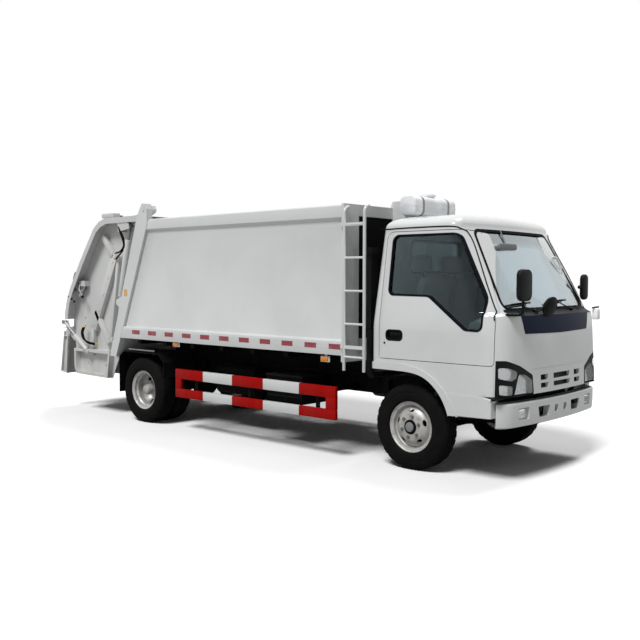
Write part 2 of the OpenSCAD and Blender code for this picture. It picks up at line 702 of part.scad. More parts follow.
// ---- Ladder, tank and intake between cab and container ----
ladder_x = [box_front_x + 52, box_front_x + 288];
ladder_y = -box_half_w - 17;
rung_z0 = 985;
rung_pitch = 302;
module ladder() {
    color(white) {
        for (x = ladder_x) {
            translate([x, ladder_y, 858]) cylinder(r = 15, h = 1440);
            translate([x, ladder_y + 60, 2298]) rotate([90, 0, -90]) rotate_extrude(angle = 90)
                translate([60, 0]) circle(r = 15);
        }
        for (z = [1060, 2180]) block([box_front_x + 12, ladder_y - 8, z],
            [ladder_x[1], -box_half_w - 0.3, z + 30]);
        for (i = [0:4]) translate([ladder_x[0], ladder_y, rung_z0 + i * rung_pitch])
            rotate([0, 90, 0]) cylinder(r = 11, h = ladder_x[1] - ladder_x[0]);
    }
}

tank_x = front_axle_x - 330;
module water_tank() {
    color("white") {
        translate([tank_x - 40, -420, 2395]) rotate([-90, 0, 0]) cylinder(r = 95, h = 690);
        translate([tank_x - 40, -75, 2480]) cylinder(r = 70, h = 40);
    }
    color(iron) both_sides_of(-75, 180)
        block([box_front_x + hood_len + 0.6, -14, 2330], [tank_x - 40, 14, 2360]);
}
module both_sides_of(y, d) {
    for (s = [-1, 1]) translate([0, y + s * d, 0]) children();
}

module intake_snorkel() {
    x = cab_back_x - 70;
    color(iron) {
        block([x - 40, -900, 1250], [x + 40, -800, 1930]);
        block([x - 55, -915, 1930 - eps], [x + 55, -785, 1985]);
        translate([x, -850, 822]) cylinder(r = 38, h = 428 + eps);
        translate([x, -850, 822]) rotate([-90, 0, 0]) cylinder(r = 38, h = 579.7);
    }
}

// ---- Cab ----
arch_z = 888;
function cab_side(w) = [
    [cab_back_x + w, arch_z + (w > 0 ? 60 : 0)], [cab_back_x + w, 1300],
    [cab_back_x + 55 + w, gutter_z], [cab_back_x + 85 + w, roof_z - 60 - w * 0.6],
    [cab_back_x + 200, roof_z - 20 - w], [cab_back_x + 480, roof_z - w],
    [cab_back_x + 760, roof_z - 16 - w], [front_axle_x + 565 - w * 0.7, 2205 - w * 0.7],
    [front_axle_x + 605 - w, 2160 - w * 0.5], [front_axle_x + 990 - w, 1425 - w * 0.5],
    [front_axle_x + 1012 - w, 1395], [nose_x - 12 - w, 1000], [nose_x - w, 736 + (w > 0 ? 30 : 0)],
    [front_axle_x + 900 - w, 736 + (w > 0 ? 30 : 0)], [front_axle_x + 860 - w, 702 + (w > 0 ? 30 : 0)],
    [front_axle_x + 856 - w, 553 + (w > 0 ? 30 : 0)],
    [front_axle_x + 452 + (w > 0 ? w : 0), 530 + (w > 0 ? 50 : 0)],
    [front_axle_x + 420 + (w > 0 ? w : 0), 640], [front_axle_x + 350 + (w > 0 ? w : 0), 750],
    [front_axle_x + 253 + (w > 0 ? w : 0), 835 + (w > 0 ? 50 : 0)]];
function cab_front_view(w) = [[-cab_half_w + w, 400], [cab_half_w - w, 400], [cab_half_w - w, 1290],
    [gutter_half_w - w, gutter_z], [gutter_half_w - 60 - w, roof_z - 50 - w * 0.5],
    [500, roof_z - 12 - w], [0, roof_z - w], [-500, roof_z - 12 - w],
    [-gutter_half_w + 60 + w, roof_z - 50 - w * 0.5], [-gutter_half_w + w, gutter_z],
    [-cab_half_w + w, 1290]];
module cab_solid(w) {
    intersection() {
        across(-cab_half_w - 5, cab_half_w + 5) polygon(cab_side(w));
        along(cab_back_x - 5, nose_x + 5) polygon(cab_front_view(w));
        translate([0, 0, 400]) linear_extrude(2000) polygon(nose(w, cab_half_w, 0));
    }
}

hinge_x = front_axle_x + 873;
door_line = [[cab_back_x + 88, 985], [hinge_x + 10, 985], [hinge_x + 10, 1440],
    [front_axle_x + 530, 2122], [cab_back_x + 116, 2122], [cab_back_x + 88, 1330]];
window_line = [[cab_back_x + 176, 1561], [cab_back_x + 185, 2086], [front_axle_x + 479, 2086],
    [front_axle_x + 774, 1522], [front_axle_x + 763, 1271], [front_axle_x + 572, 1280],
    [front_axle_x + 168, 1549]];
screen_line = [[-775, 1447], [775, 1447], [665, 2122], [-665, 2122]];
cab_inner_y = cab_half_w - cab_wall;
module cab_shell() {
    color(white) both_sides() door_hinges();
    color(white) difference() {
        cab_solid(0);
        cab_solid(cab_wall);
        across(-1100, 1100) polygon(door_line);
        along(front_axle_x + 300, nose_x + 50) polygon(screen_line);
        along(cab_back_x - 50, cab_back_x + 300)
            polygon([[-430, 1765], [430, 1765], [430, 2064], [-430, 2064]]);
        across(-cab_inner_y, cab_inner_y) polygon([[cab_back_x + cab_wall, 400],
            [cab_back_x + cab_wall, 956], [front_axle_x + 331, 956], [front_axle_x + 501, 801],
            [front_axle_x + 861, 801], [front_axle_x + 861, 400]]);
        block([front_axle_x + 250, -cab_inner_y, 400], [nose_x + 50, cab_inner_y, 736]);
        both_sides() block([tilt_pin[0] - 45, tilt_lug_y - 4, 700],
            [tilt_pin[0] + tilt_eye_r, tilt_lug_y + tilt_lug_t + 4, 800]);
        both_sides() tilt_bore();
    }
    color(white) both_sides() difference() {
        for (y = [tilt_lug_y - 18, tilt_lug_y + tilt_lug_t + 4])
            crossbar(tilt_pin, tilt_eye_r, y, y + 14);
        tilt_bore();
    }
}
module tilt_bore() {
    crossbar(tilt_pin, tilt_pin_r + 0.05, tilt_lug_y - 30, tilt_lug_y + tilt_lug_t + 30);
}

glass_t = 5;
module cab_glass() {
    color("lightblue", 0.5) {
        intersection() {
            difference() {
                cab_solid(cab_wall / 2);
                cab_solid(cab_wall / 2 + glass_t);
            }
            along(front_axle_x + 400, nose_x + 50) polygon(shrunk(screen_line, 0.6));
        }
        intersection() {
            difference() {
                cab_solid(cab_wall / 2);
                cab_solid(cab_wall / 2 + glass_t);
            }
            along(cab_back_x - 50, cab_back_x + 300) polygon(
                [[-429.5, 1765.5], [429.5, 1765.5], [429.5, 2063.5], [-429.5, 2063.5]]);
        }
    }
}
function middle(p) = [for (k = [0, 1]) (min([for (q = p) q[k]]) + max([for (q = p) q[k]])) / 2];
function shrunk(p, d) = let(m = middle(p)) [for (q = p) q - d * unit(q - m)];

module cab_floor() {
    fl = cab_inner_y - 0.3;
    color("gray") {
        block([cab_back_x + cab_wall + 0.3, -fl, 930], [front_axle_x + 290, fl, 955]);
        across(-fl, fl) polygon([[front_axle_x + 289, 930], [front_axle_x + 289, 955],
            [front_axle_x + 330, 955], [front_axle_x + 500, 800], [front_axle_x + 860, 800],
            [front_axle_x + 860, 780], [front_axle_x + 480, 780], [front_axle_x + 320, 930]]);
        both_sides() block([front_axle_x + 700, rail_in_y, rail_top_z + 0.3],
            [front_axle_x + 740, rail_y, 781]);
    }
}

module dashboard() {
    color("dimgray") {
        intersection() {
            across(-cab_inner_y + 16, cab_inner_y - 16) polygon([[nose_x, 1370],
                [front_axle_x + 760, 1385], [front_axle_x + 600, 1330], [front_axle_x + 560, 1200],
                [front_axle_x + 640, 1040], [nose_x, 1040]]);
            cab_solid(cab_wall + 0.3);
        }
        on_column() translate([0, 0, -185]) cylinder(r = 32, h = 64);
    }
}

seat_y = [-480, 60, 500];
module seats() {
    color("lightgray") for (i = [0:2]) {
        y = seat_y[i];
        w = i == 1 ? 200 : 240;
        difference() {
            block([cab_back_x + 190, y - w, 1080], [cab_back_x + 660, y + w, 1210]);
        }
        block([cab_back_x + 210, y - w + 40, 955.3], [cab_back_x + 600, y + w - 40, 1080 + eps]);
        across(y - w + 10, y + w - 10) polygon([[cab_back_x + 190, 1209], [cab_back_x + 300, 1209],
            [cab_back_x + 210, 1740], [cab_back_x + 120, 1740]]);
        across(y - 130, y + 130) polygon([[cab_back_x + 120, 1760], [cab_back_x + 200, 1760],
            [cab_back_x + 180, 1920], [cab_back_x + 110, 1920]]);
        both_sides_of(y, 60) block([cab_back_x + 150, -8, 1735], [cab_back_x + 166, 8, 1765]);
    }
}

// The right mirror stands at the nose's corner; the left one hangs from the door's front edge
mirror_x = front_axle_x + 1048;
module mirror_right() {
    color(iron) difference() {
        union() {
            block([mirror_x - 24, -860, 1520], [mirror_x + 20, -650, 1780]);
            translate([mirror_x - 10, -755, 1412]) cylinder(r = 11, h = 109);
            block([mirror_x - 100, -766, 1412], [mirror_x - 10, -744, 1430]);
        }
        cab_solid(0);
    }
}
module mirror_left() {
    arm = [front_axle_x + 752, 1625];
    color(iron) difference() {
        union() {
            block([arm[0] - 16, 915, 1500], [arm[0] + 28, 1035, 1750]);
            across(870, 960) translate(arm) circle(r = 11);
        }
        cab_solid(0);
    }
}

column_top = [front_axle_x + 480, 1290];
module on_column() {
    translate([column_top[0], -480, column_top[1]]) rotate([0, -35, 0]) children();
}
module steering_wheel() {
    color("black") on_column() {
        rotate_extrude() translate([wheel_r, 0]) circle(r = 14, $fn = 24);
        cylinder(r = 45, h = 26, center = true);
        for (a = [90, 210, 330]) rotate([0, 0, a]) translate([0, -12, -6]) cube([wheel_r, 24, 12]);
        translate([0, 0, -117]) cylinder(r = 16, h = 117);
    }
}

// Door hinges: pins hidden just under the skin, held by short arms from the front pillar
door_pin = [hinge_x - 4, cab_half_w - 10];
door_pin_r = 7;
hinge_levels = [1060, 1340];
hinge_arm_h = 50;
module door_hinges() {
    for (z = hinge_levels) {
        translate([door_pin[0], door_pin[1], z - 30]) cylinder(r = door_pin_r, h = hinge_arm_h + 60);
        block([door_pin[0], door_pin[1] - door_pin_r, z],
            [hinge_x + 12, door_pin[1] + door_pin_r, z + hinge_arm_h]);
    }
}
module door_hinge_cuts() {
    for (z = hinge_levels) {
        translate([door_pin[0], door_pin[1], z - 31]) cylinder(r = door_pin_r + 0.05, h = hinge_arm_h + 62);
        block([door_pin[0] - 12, door_pin[1] - 30, z - 2],
            [hinge_x + 20, cab_half_w + 5, z + hinge_arm_h + 2]);
    }
}
module door_skin(side) {
    intersection() {
        difference() {
            cab_solid(0);
            cab_solid(cab_wall);
        }
        across(side > 0 ? 500 : -1100, side > 0 ? 1100 : -500) polygon(door_inner_line);
    }
}
door_inner_line = [[cab_back_x + 88 + door_gap, 985 + door_gap],
    [hinge_x + 10 - door_gap, 985 + door_gap], [hinge_x + 10 - door_gap, 1440 - 2],
    [front_axle_x + 530 - 6, 2122 - door_gap], [cab_back_x + 116 + door_gap, 2122 - door_gap],
    [cab_back_x + 88 + door_gap, 1330]];
module door(side) {
    color(white) difference() {
        door_skin(side);
        across(-1100, 1100) polygon(window_line);
        translate([cab_back_x + 255, side * cab_half_w, 1198]) cube([180, 40, 60], center = true);
        if (side > 0) door_hinge_cuts();
        else mirror([0, 1, 0]) door_hinge_cuts();
    }
}
module door_glass(side) {
    color("lightblue", 0.5) intersection() {
        difference() {
            cab_solid(cab_wall / 2);
            cab_solid(cab_wall / 2 + glass_t);
        }
        across(side > 0 ? 500 : -1100, side > 0 ? 1100 : -500) polygon(shrunk(window_line, 0.6));
    }
}
module door_right() { door(-1); }
module door_left() { door(1); }
module door_glass_right() { door_glass(-1); }
module door_glass_left() { door_glass(1); }

// ---- Wheels ----
module knuckle() {
    color(iron) translate([front_axle_x, 0, axle_z]) {
        difference() {
            block([-40, king_y - 45, -110], [40, king_y + 62, 110]);
            block([-50, king_y - 50, -51], [50, king_y + 48, 51]);
        }
        translate([0, king_y, -109]) cylinder(r = 18, h = 218);
        crossbar([0, 0], 30, king_y + 61, front_hub_end - 16);
        crossbar([0, 0], 150, king_y + 62, king_y + 66);
    }
}
module knuckle_left() { knuckle(); }
module knuckle_right() { mirror([0, 1, 0]) knuckle(); }

// Wheel parts stand on their axis, outboard up, with the tyre's middle at zero
rim_half = 84;
bead_r = 203;
module rim(disc_a) {
    color("silver") difference() {
        union() {
            rotate_extrude() polygon([[bead_r - 10, -rim_half], [flange_r, -rim_half],
                [flange_r, -rim_half + 7], [bead_r, -rim_half + 12], [bead_r, -40], [bead_r - 18, -30],
                [bead_r - 18, 30], [bead_r, 40], [bead_r, rim_half - 12], [flange_r, rim_half - 7],
                [flange_r, rim_half], [bead_r - 10, rim_half], [bead_r - 10, 44], [bead_r - 28, 34],
                [bead_r - 28, -34], [bead_r - 10, -44]]);
            rotate_extrude() polygon([[60, disc_a], [118, disc_a], [148, disc_a - 16],
                [bead_r - 22, rim_half - 40], [bead_r - 8, rim_half - 40], [bead_r - 8, rim_half - 62],
                [bead_r - 22, rim_half - 58], [140, disc_a - 26], [116, disc_a - 11], [60, disc_a - 11]]);
        }
        for (i = [0:4]) rotate([0, 0, i * 72 + 36]) translate([158, 0, 0])
            cylinder(r = 20, h = disc_a + 10);
    }
}
module tyre() {
    t = tyre_w / 2;
    color([0.1, 0.1, 0.1]) rotate_extrude() polygon([[bead_r + 0.3, -71.5], [flange_r + 1, -76.3],
        [flange_r + 4, -90], [250, -t + 5], [290, -t], [335, -t + 6], [372, -t + 24],
        [tyre_r, -50], [tyre_r, 50], [372, t - 24], [335, t - 6], [290, t], [250, t - 5],
        [flange_r + 4, 90], [flange_r + 1, 76.3], [bead_r + 0.3, 71.5]]);
}
module on_left(x, y) {
    translate([x, y, axle_z]) rotate([-90, 0, 0]) children();
}
front_disc_a = 88;
front_hub_end = front_track_y + front_disc_a + 22;
module front_rim() {
    on_left(front_axle_x, front_track_y) rim(front_disc_a);
    color("silver") difference() {
        crossbar([front_axle_x, axle_z], 70, king_y + 76, front_hub_end);
        crossbar([front_axle_x, axle_z], 30.05, king_y, front_hub_end - 14);
    }
}
module front_tyre() { on_left(front_axle_x, front_track_y) tyre(); }
rear_disc_a = twin_pitch / 2 - 0.15;
module rear_rims() {
    on_left(rear_axle_x, rear_track_y) mirror([0, 0, 1]) rim(rear_disc_a);
    on_left(rear_axle_x, rear_track_y - twin_pitch) rim(rear_disc_a);
    color("silver") difference() {
        union() {
            crossbar([rear_axle_x, axle_z], 70, 690, rear_track_y + 66);
            crossbar([rear_axle_x, axle_z], 150, 530, 691);
        }
        crossbar([rear_axle_x, axle_z], 40.05, 500, rear_track_y + 52);
    }
}
module rear_tyres() {
    on_left(rear_axle_x, rear_track_y) tyre();
    on_left(rear_axle_x, rear_track_y - twin_pitch) tyre();
}
module front_rim_left() { front_rim(); }
module front_rim_right() { mirror([0, 1, 0]) front_rim(); }
module front_tyre_left() { front_tyre(); }
module front_tyre_right() { mirror([0, 1, 0]) front_tyre(); }
module rear_rims_left() { rear_rims(); }
module rear_rims_right() { mirror([0, 1, 0]) rear_rims(); }
module rear_tyres_left() { rear_tyres(); }
module rear_tyres_right() { mirror([0, 1, 0]) rear_tyres(); }

frame_rails();
engine();
front_axle();
rear_axle();
driveshaft();
fuel_tank();
battery_box();
air_tanks();
silencer();
side_guards();
rear_mudguards();
front_bumper();
container_shell();
container_front();
rear_posts();
ladder();
water_tank();
intake_snorkel();
ejector_plate();
tailgate_sides();
tailgate_hood();
hopper_bowl();
packer_barrels();
control_levers();
lift_barrels();
lift_rods();
packer_plate();
packer_rods();
sweep_blade();
sweep_barrels();
sweep_rods();
bin_lifter();
lifter_barrels();
lifter_rods();
cab_shell();
cab_glass();
cab_floor();
dashboard();
seats();
mirror_right();
mirror_left();
steering_wheel();
door_right();
door_glass_right();
door_left();
door_glass_left();
knuckle_left();
knuckle_right();
front_rim_left();
front_tyre_left();
front_rim_right();
front_tyre_right();
rear_rims_left();
rear_tyres_left();
rear_rims_right();
rear_tyres_right();
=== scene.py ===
"""Looks of a rear-loading refuse compactor truck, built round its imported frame. Lengths are metres."""
import math

import bmesh
import bpy
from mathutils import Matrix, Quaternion, Vector


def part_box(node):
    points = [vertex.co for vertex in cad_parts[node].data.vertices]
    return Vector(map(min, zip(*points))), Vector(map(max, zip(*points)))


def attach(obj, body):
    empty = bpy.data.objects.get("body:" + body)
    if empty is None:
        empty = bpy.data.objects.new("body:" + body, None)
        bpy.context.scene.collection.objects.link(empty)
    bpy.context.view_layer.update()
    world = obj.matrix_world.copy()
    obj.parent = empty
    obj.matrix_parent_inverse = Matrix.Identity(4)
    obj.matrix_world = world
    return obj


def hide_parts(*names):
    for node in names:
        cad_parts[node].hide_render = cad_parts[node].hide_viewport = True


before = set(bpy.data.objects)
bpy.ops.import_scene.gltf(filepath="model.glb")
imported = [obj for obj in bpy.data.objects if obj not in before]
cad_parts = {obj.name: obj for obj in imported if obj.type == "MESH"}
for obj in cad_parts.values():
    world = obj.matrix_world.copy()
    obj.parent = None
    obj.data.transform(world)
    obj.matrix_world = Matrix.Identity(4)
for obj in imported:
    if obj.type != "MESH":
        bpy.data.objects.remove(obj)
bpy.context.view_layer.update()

RIGHT, LEFT = -1, 1


# ---- Places taken from the frame ----
def low(node):
    return Vector(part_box(node)[0])


def high(node):
    return Vector(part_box(node)[1])


def middle(node):
    return (low(node) + high(node)) / 2


FRONT = middle("front_rim_right").x
REAR = middle("rear_rims_right").x
AXLE_Z = middle("front_rim_right").z
TYRE_R = high("front_tyre_right").z - AXLE_Z
NOSE = FRONT + 1.022
BACK = low("cab_shell").x
HALF = 0.930
BOX_HALF = high("container_shell").y
BOX_FRONT = high("container_shell").x
SILL_Z = low("container_front").z + 0.060
BOX_TOP = high("container_shell").z
POST_LEAN = 0.3415
POST_FOOT = low("rear_posts").z
POST_X = low("rear_posts").x
GATE_BACK = low("tailgate_sides").x


def post_rear(z):
    return POST_X + POST_LEAN * (z - POST_FOOT)


def post_front(z):
    return post_rear(z) + 0.126 + 0.062 * (z - POST_FOOT)


# ---- Camera ----
def camera():
    yaw, pitch, roll = (math.radians(a) for a in (131.995, -2.740, -0.133))
    forward = Vector((math.cos(yaw) * math.cos(pitch), math.sin(yaw) * math.cos(pitch), math.sin(pitch)))
    made = bpy.data.objects.new("camera", bpy.data.cameras.new("camera"))
    made.data.lens = 47.59
    made.location = (FRONT + 4.400, -6.950, 1.693)
    made.rotation_mode = "QUATERNION"
    made.rotation_quaternion = Quaternion(forward, roll) @ forward.to_track_quat("-Z", "Y")
    bpy.context.scene.collection.objects.link(made)
    bpy.context.scene.camera = made


camera()


# ---- Shader nodes ----
class Value:
    """A shader socket that takes part in Python sums."""

    def __init__(self, paint, socket):
        self.paint, self.socket = paint, socket

    def sum_with(self, operation, other, swapped=False):
        first, second = (other, self) if swapped else (self, other)
        return self.paint.node("ShaderNodeMath", {"operation": operation}, {0: first, 1: second})

    def __add__(self, other):
        return self.sum_with("ADD", other)

    def __sub__(self, other):
        return self.sum_with("SUBTRACT", other)

    def __rsub__(self, other):
        return self.sum_with("SUBTRACT", other, True)

    def __mul__(self, other):
        return self.sum_with("MULTIPLY", other)

    def __gt__(self, other):
        return self.sum_with("GREATER_THAN", other)

    def __lt__(self, other):
        return self.sum_with("LESS_THAN", other)

    __radd__, __rmul__ = __add__, __mul__


class Paint:
    """One material and the nodes that make it."""

    def __init__(self, name):
        self.material = bpy.data.materials.new(name)
        self.material.use_nodes = True
        self.tree = self.material.node_tree
        self.tree.nodes.clear()
        self.out = self.tree.nodes.new("ShaderNodeOutputMaterial")

    def node(self, kind, settings=None, sockets=None, out=0):
        made = self.tree.nodes.new(kind)
        for key, value in (settings or {}).items():
            if key == "stops":
                while len(made.color_ramp.elements) < len(value):
                    made.color_ramp.elements.new(0.5)
                for element, (place, colour) in zip(made.color_ramp.elements, value):
                    element.position, element.color = place, colour
            else:
                setattr(made, key, value)
        for key, value in (sockets or {}).items():
            if isinstance(value, Value):
                self.tree.links.new(value.socket, made.inputs[key])
            else:
                made.inputs[key].default_value = value
        return Value(self, made.outputs[out])

    def place(self):
        return self.node("ShaderNodeTexCoord", out="Object")

    def along(self, axis):
        return self.node("ShaderNodeSeparateXYZ", None, {0: self.place()}, out=axis)

    def noise(self, scale, detail=4.0, stretch=None):
        where = self.place()
        if stretch:
            where = self.node("ShaderNodeVectorMath", {"operation": "MULTIPLY"}, {0: where, 1: stretch})
        return self.node("ShaderNodeTexNoise", None, {"Vector": where, "Scale": scale, "Detail": detail})

    def steps(self, value, start, end):
        return self.node("ShaderNodeMapRange", {"interpolation_type": "SMOOTHSTEP"},
                         {0: value, 1: start, 2: end, 3: 0.0, 4: 1.0})

    def mix(self, share, first, second):
        """A mix of two colours."""
        return self.node("ShaderNodeMix", {"data_type": "RGBA"}, {0: share, 6: first, 7: second}, out=2)

    def bump(self, height, depth, strength=1.0):
        return self.node("ShaderNodeBump", None, {"Height": height, "Distance": depth, "Strength": strength})

    def surface(self, **sockets):
        names = {k.replace("_", " ").title().replace("Ior", "IOR"): v for k, v in sockets.items()}
        shader = self.node("ShaderNodeBsdfPrincipled", None, names)
        self.tree.links.new(shader.socket, self.out.inputs[0])
        return shader


def rgb(red, green, blue):
    return (red, green, blue, 1.0)


DUST = rgb(0.36, 0.33, 0.28)


def painted(name, colour, rough=0.22, coat=0.6, dust=0.25, ripple=0.0004, shine=0.5):
    """Sprayed paint with a faint orange peel, soft colour drift and road dust low down."""
    paint = Paint(name)
    drift = paint.noise(1.7, 5.0)
    grime = paint.noise(9.0, 8.0, (1.0, 1.0, 0.35))
    depth = paint.steps(paint.along("Z"), 1.1, 0.25) * dust + 0.04 * dust
    mask = depth * paint.steps(grime, 0.35, 0.72)
    darker = tuple(0.93 * c for c in colour[:3]) + (1.0,)
    base = paint.mix(paint.steps(drift, 0.35, 0.7), colour, darker)
    peel = paint.noise(420.0, 2.0)
    waves = paint.noise(2.2, 2.0)
    skin = paint.bump(peel, 0.0002, 0.35)
    bent = paint.node("ShaderNodeBump", None, {"Height": waves, "Distance": ripple * 12,
                                               "Strength": 0.5, "Normal": skin})
    paint.surface(base_color=paint.mix(mask, base, DUST), roughness=rough + 0.35 * mask + 0.06 * drift,
                  coat_weight=coat, coat_roughness=0.06, specular_ior_level=shine, normal=bent)
    return paint.material


def metal(name, colour, rough=0.3, brushed=(1.0, 1.0, 1.0), stain=0.3):
    paint = Paint(name)
    grain = paint.noise(180.0, 6.0, brushed)
    spots = paint.steps(paint.noise(14.0, 8.0), 0.45, 0.75)
    tint = tuple(0.55 * c for c in colour[:3]) + (1.0,)
    paint.surface(base_color=paint.mix(spots * stain, colour, tint), metallic=1.0,
                  roughness=rough + 0.12 * grain + 0.2 * spots * stain, normal=paint.bump(grain, 0.0003, 0.4))
    return paint.material


def silver_lacquer(name):
    """Silver wheel lacquer with brake dust in random patches."""
    paint = Paint(name)
    flake = paint.noise(900.0, 1.0)
    grime = paint.steps(paint.noise(16.0, 8.0), 0.42, 0.8)
    base = paint.mix(grime * 0.60, rgb(0.46, 0.455, 0.44), rgb(0.16, 0.14, 0.12))
    paint.surface(base_color=base, metallic=0.35, roughness=0.42 + 0.3 * grime,
                  coat_weight=0.15, coat_roughness=0.15, normal=paint.bump(flake, 0.0002, 0.3))
    return paint.material


def rubber(name, colour=rgb(0.005, 0.005, 0.005), dust=0.5, grain=60.0):
    paint = Paint(name)
    wear = paint.steps(paint.noise(7.0, 8.0), 0.4, 0.8)
    fine = paint.noise(grain, 6.0)
    paint.surface(base_color=paint.mix(wear * dust, colour, rgb(0.022, 0.020, 0.018)),
                  roughness=0.66 + 0.2 * wear, specular_ior_level=0.05, normal=paint.bump(fine, 0.0012, 0.35))
    return paint.material


def moulded(name, colour, rough=0.5, grain=520.0, depth=0.0004, shine=0.5):
    """Moulded plastic with a leather-like grain."""
    paint = Paint(name)
    cells = paint.node("ShaderNodeTexVoronoi", {"feature": "SMOOTH_F1"},
                       {"Vector": paint.place(), "Scale": grain})
    fade = paint.noise(5.0, 5.0)
    lighter = tuple(min(1.0, 1.35 * c + 0.004) for c in colour[:3]) + (1.0,)
    paint.surface(base_color=paint.mix(paint.steps(fade, 0.4, 0.75), colour, lighter),
                  roughness=rough + 0.1 * fade, specular_ior_level=shine,
                  normal=paint.bump(cells, depth, 0.45))
    return paint.material


def woven(name, colour):
    """Seat cloth: a plain weave of two threads with a little fluff."""
    paint = Paint(name)
    warp = paint.node("ShaderNodeTexWave", {"bands_direction": "Y"}, {"Vector": paint.place(), "Scale": 160.0,
                                                                    "Distortion": 0.6, "Detail Scale": 4.0})
    weft = paint.node("ShaderNodeTexWave", {"bands_direction": "Z"}, {"Vector": paint.place(), "Scale": 160.0,
                                                                    "Distortion": 0.6, "Detail Scale": 4.0})
    cloth = warp * weft
    fluff = paint.noise(45.0, 6.0)
    dark = tuple(0.55 * c for c in colour[:3]) + (1.0,)
    paint.surface(base_color=paint.mix(cloth * 0.6 + 0.4 * fluff, dark, colour), roughness=0.92,
                  sheen_weight=0.35, normal=paint.bump(cloth, 0.0008, 0.6))
    return paint.material


def pane(name, tint, gleam, band=None):
    """Window glass: tinted see-through with a clear reflection. band is a sun strip's foot."""
    paint = Paint(name)
    colour = tint
    if band:
        strip = paint.steps(paint.along("Z"), band - 0.03, band + 0.05)
        colour = paint.mix(strip, tint, rgb(0.24, 0.30, 0.31))
    through = paint.node("ShaderNodeBsdfTransparent", None, {"Color": colour})
    mirror = paint.node("ShaderNodeBsdfPrincipled", None, {"Base Color": rgb(0.86, 0.93, 0.96),
                        "Roughness": 0.02, "Metallic": 1.0})
    edge = paint.node("ShaderNodeFresnel", None, {"IOR": 1.5})
    share = paint.node("ShaderNodeMath", {"operation": "MINIMUM"}, {0: edge + gleam, 1: 0.9})
    mixed = paint.node("ShaderNodeMixShader", None, {0: share, 1: through, 2: mirror})
    paint.tree.links.new(mixed.socket, paint.out.inputs[0])
    return paint.material


def lens(name, colour, share=0.35):
    """Clear or coloured lamp plastic with moulded flutes."""
    paint = Paint(name)
    flutes = paint.node("ShaderNodeTexWave", {"bands_direction": "Y"},
                        {"Vector": paint.place(), "Scale": 28.0})
    through = paint.node("ShaderNodeBsdfTransparent", None, {"Color": colour})
    skin = paint.node("ShaderNodeBsdfPrincipled", None, {"Base Color": colour, "Roughness": 0.06,
                      "Coat Weight": 0.5, "Normal": paint.bump(flutes, 0.004, 0.5)})
    mixed = paint.node("ShaderNodeMixShader", None, {0: share, 1: through, 2: skin})
    paint.tree.links.new(mixed.socket, paint.out.inputs[0])
    return paint.material


def reflective(name, colour, gleam):
    """Retroreflective sheet: little hexagonal cells under a glossy film, with scuffs."""
    paint = Paint(name)
    cells = paint.node("ShaderNodeTexVoronoi", {"feature": "DISTANCE_TO_EDGE"},
                       {"Vector": paint.place(), "Scale": 130.0})
    wall = paint.steps(cells, 0.10, 0.02)
    scuff = paint.steps(paint.noise(20.0, 8.0), 0.52, 0.8)
    base = paint.mix(wall * 0.45, colour, gleam)
    paint.surface(base_color=paint.mix(scuff * 0.4, base, DUST), roughness=0.3 + 0.3 * scuff,
                  coat_weight=0.7, coat_roughness=0.08, normal=paint.bump(cells, 0.0006, 0.4))
    return paint.material


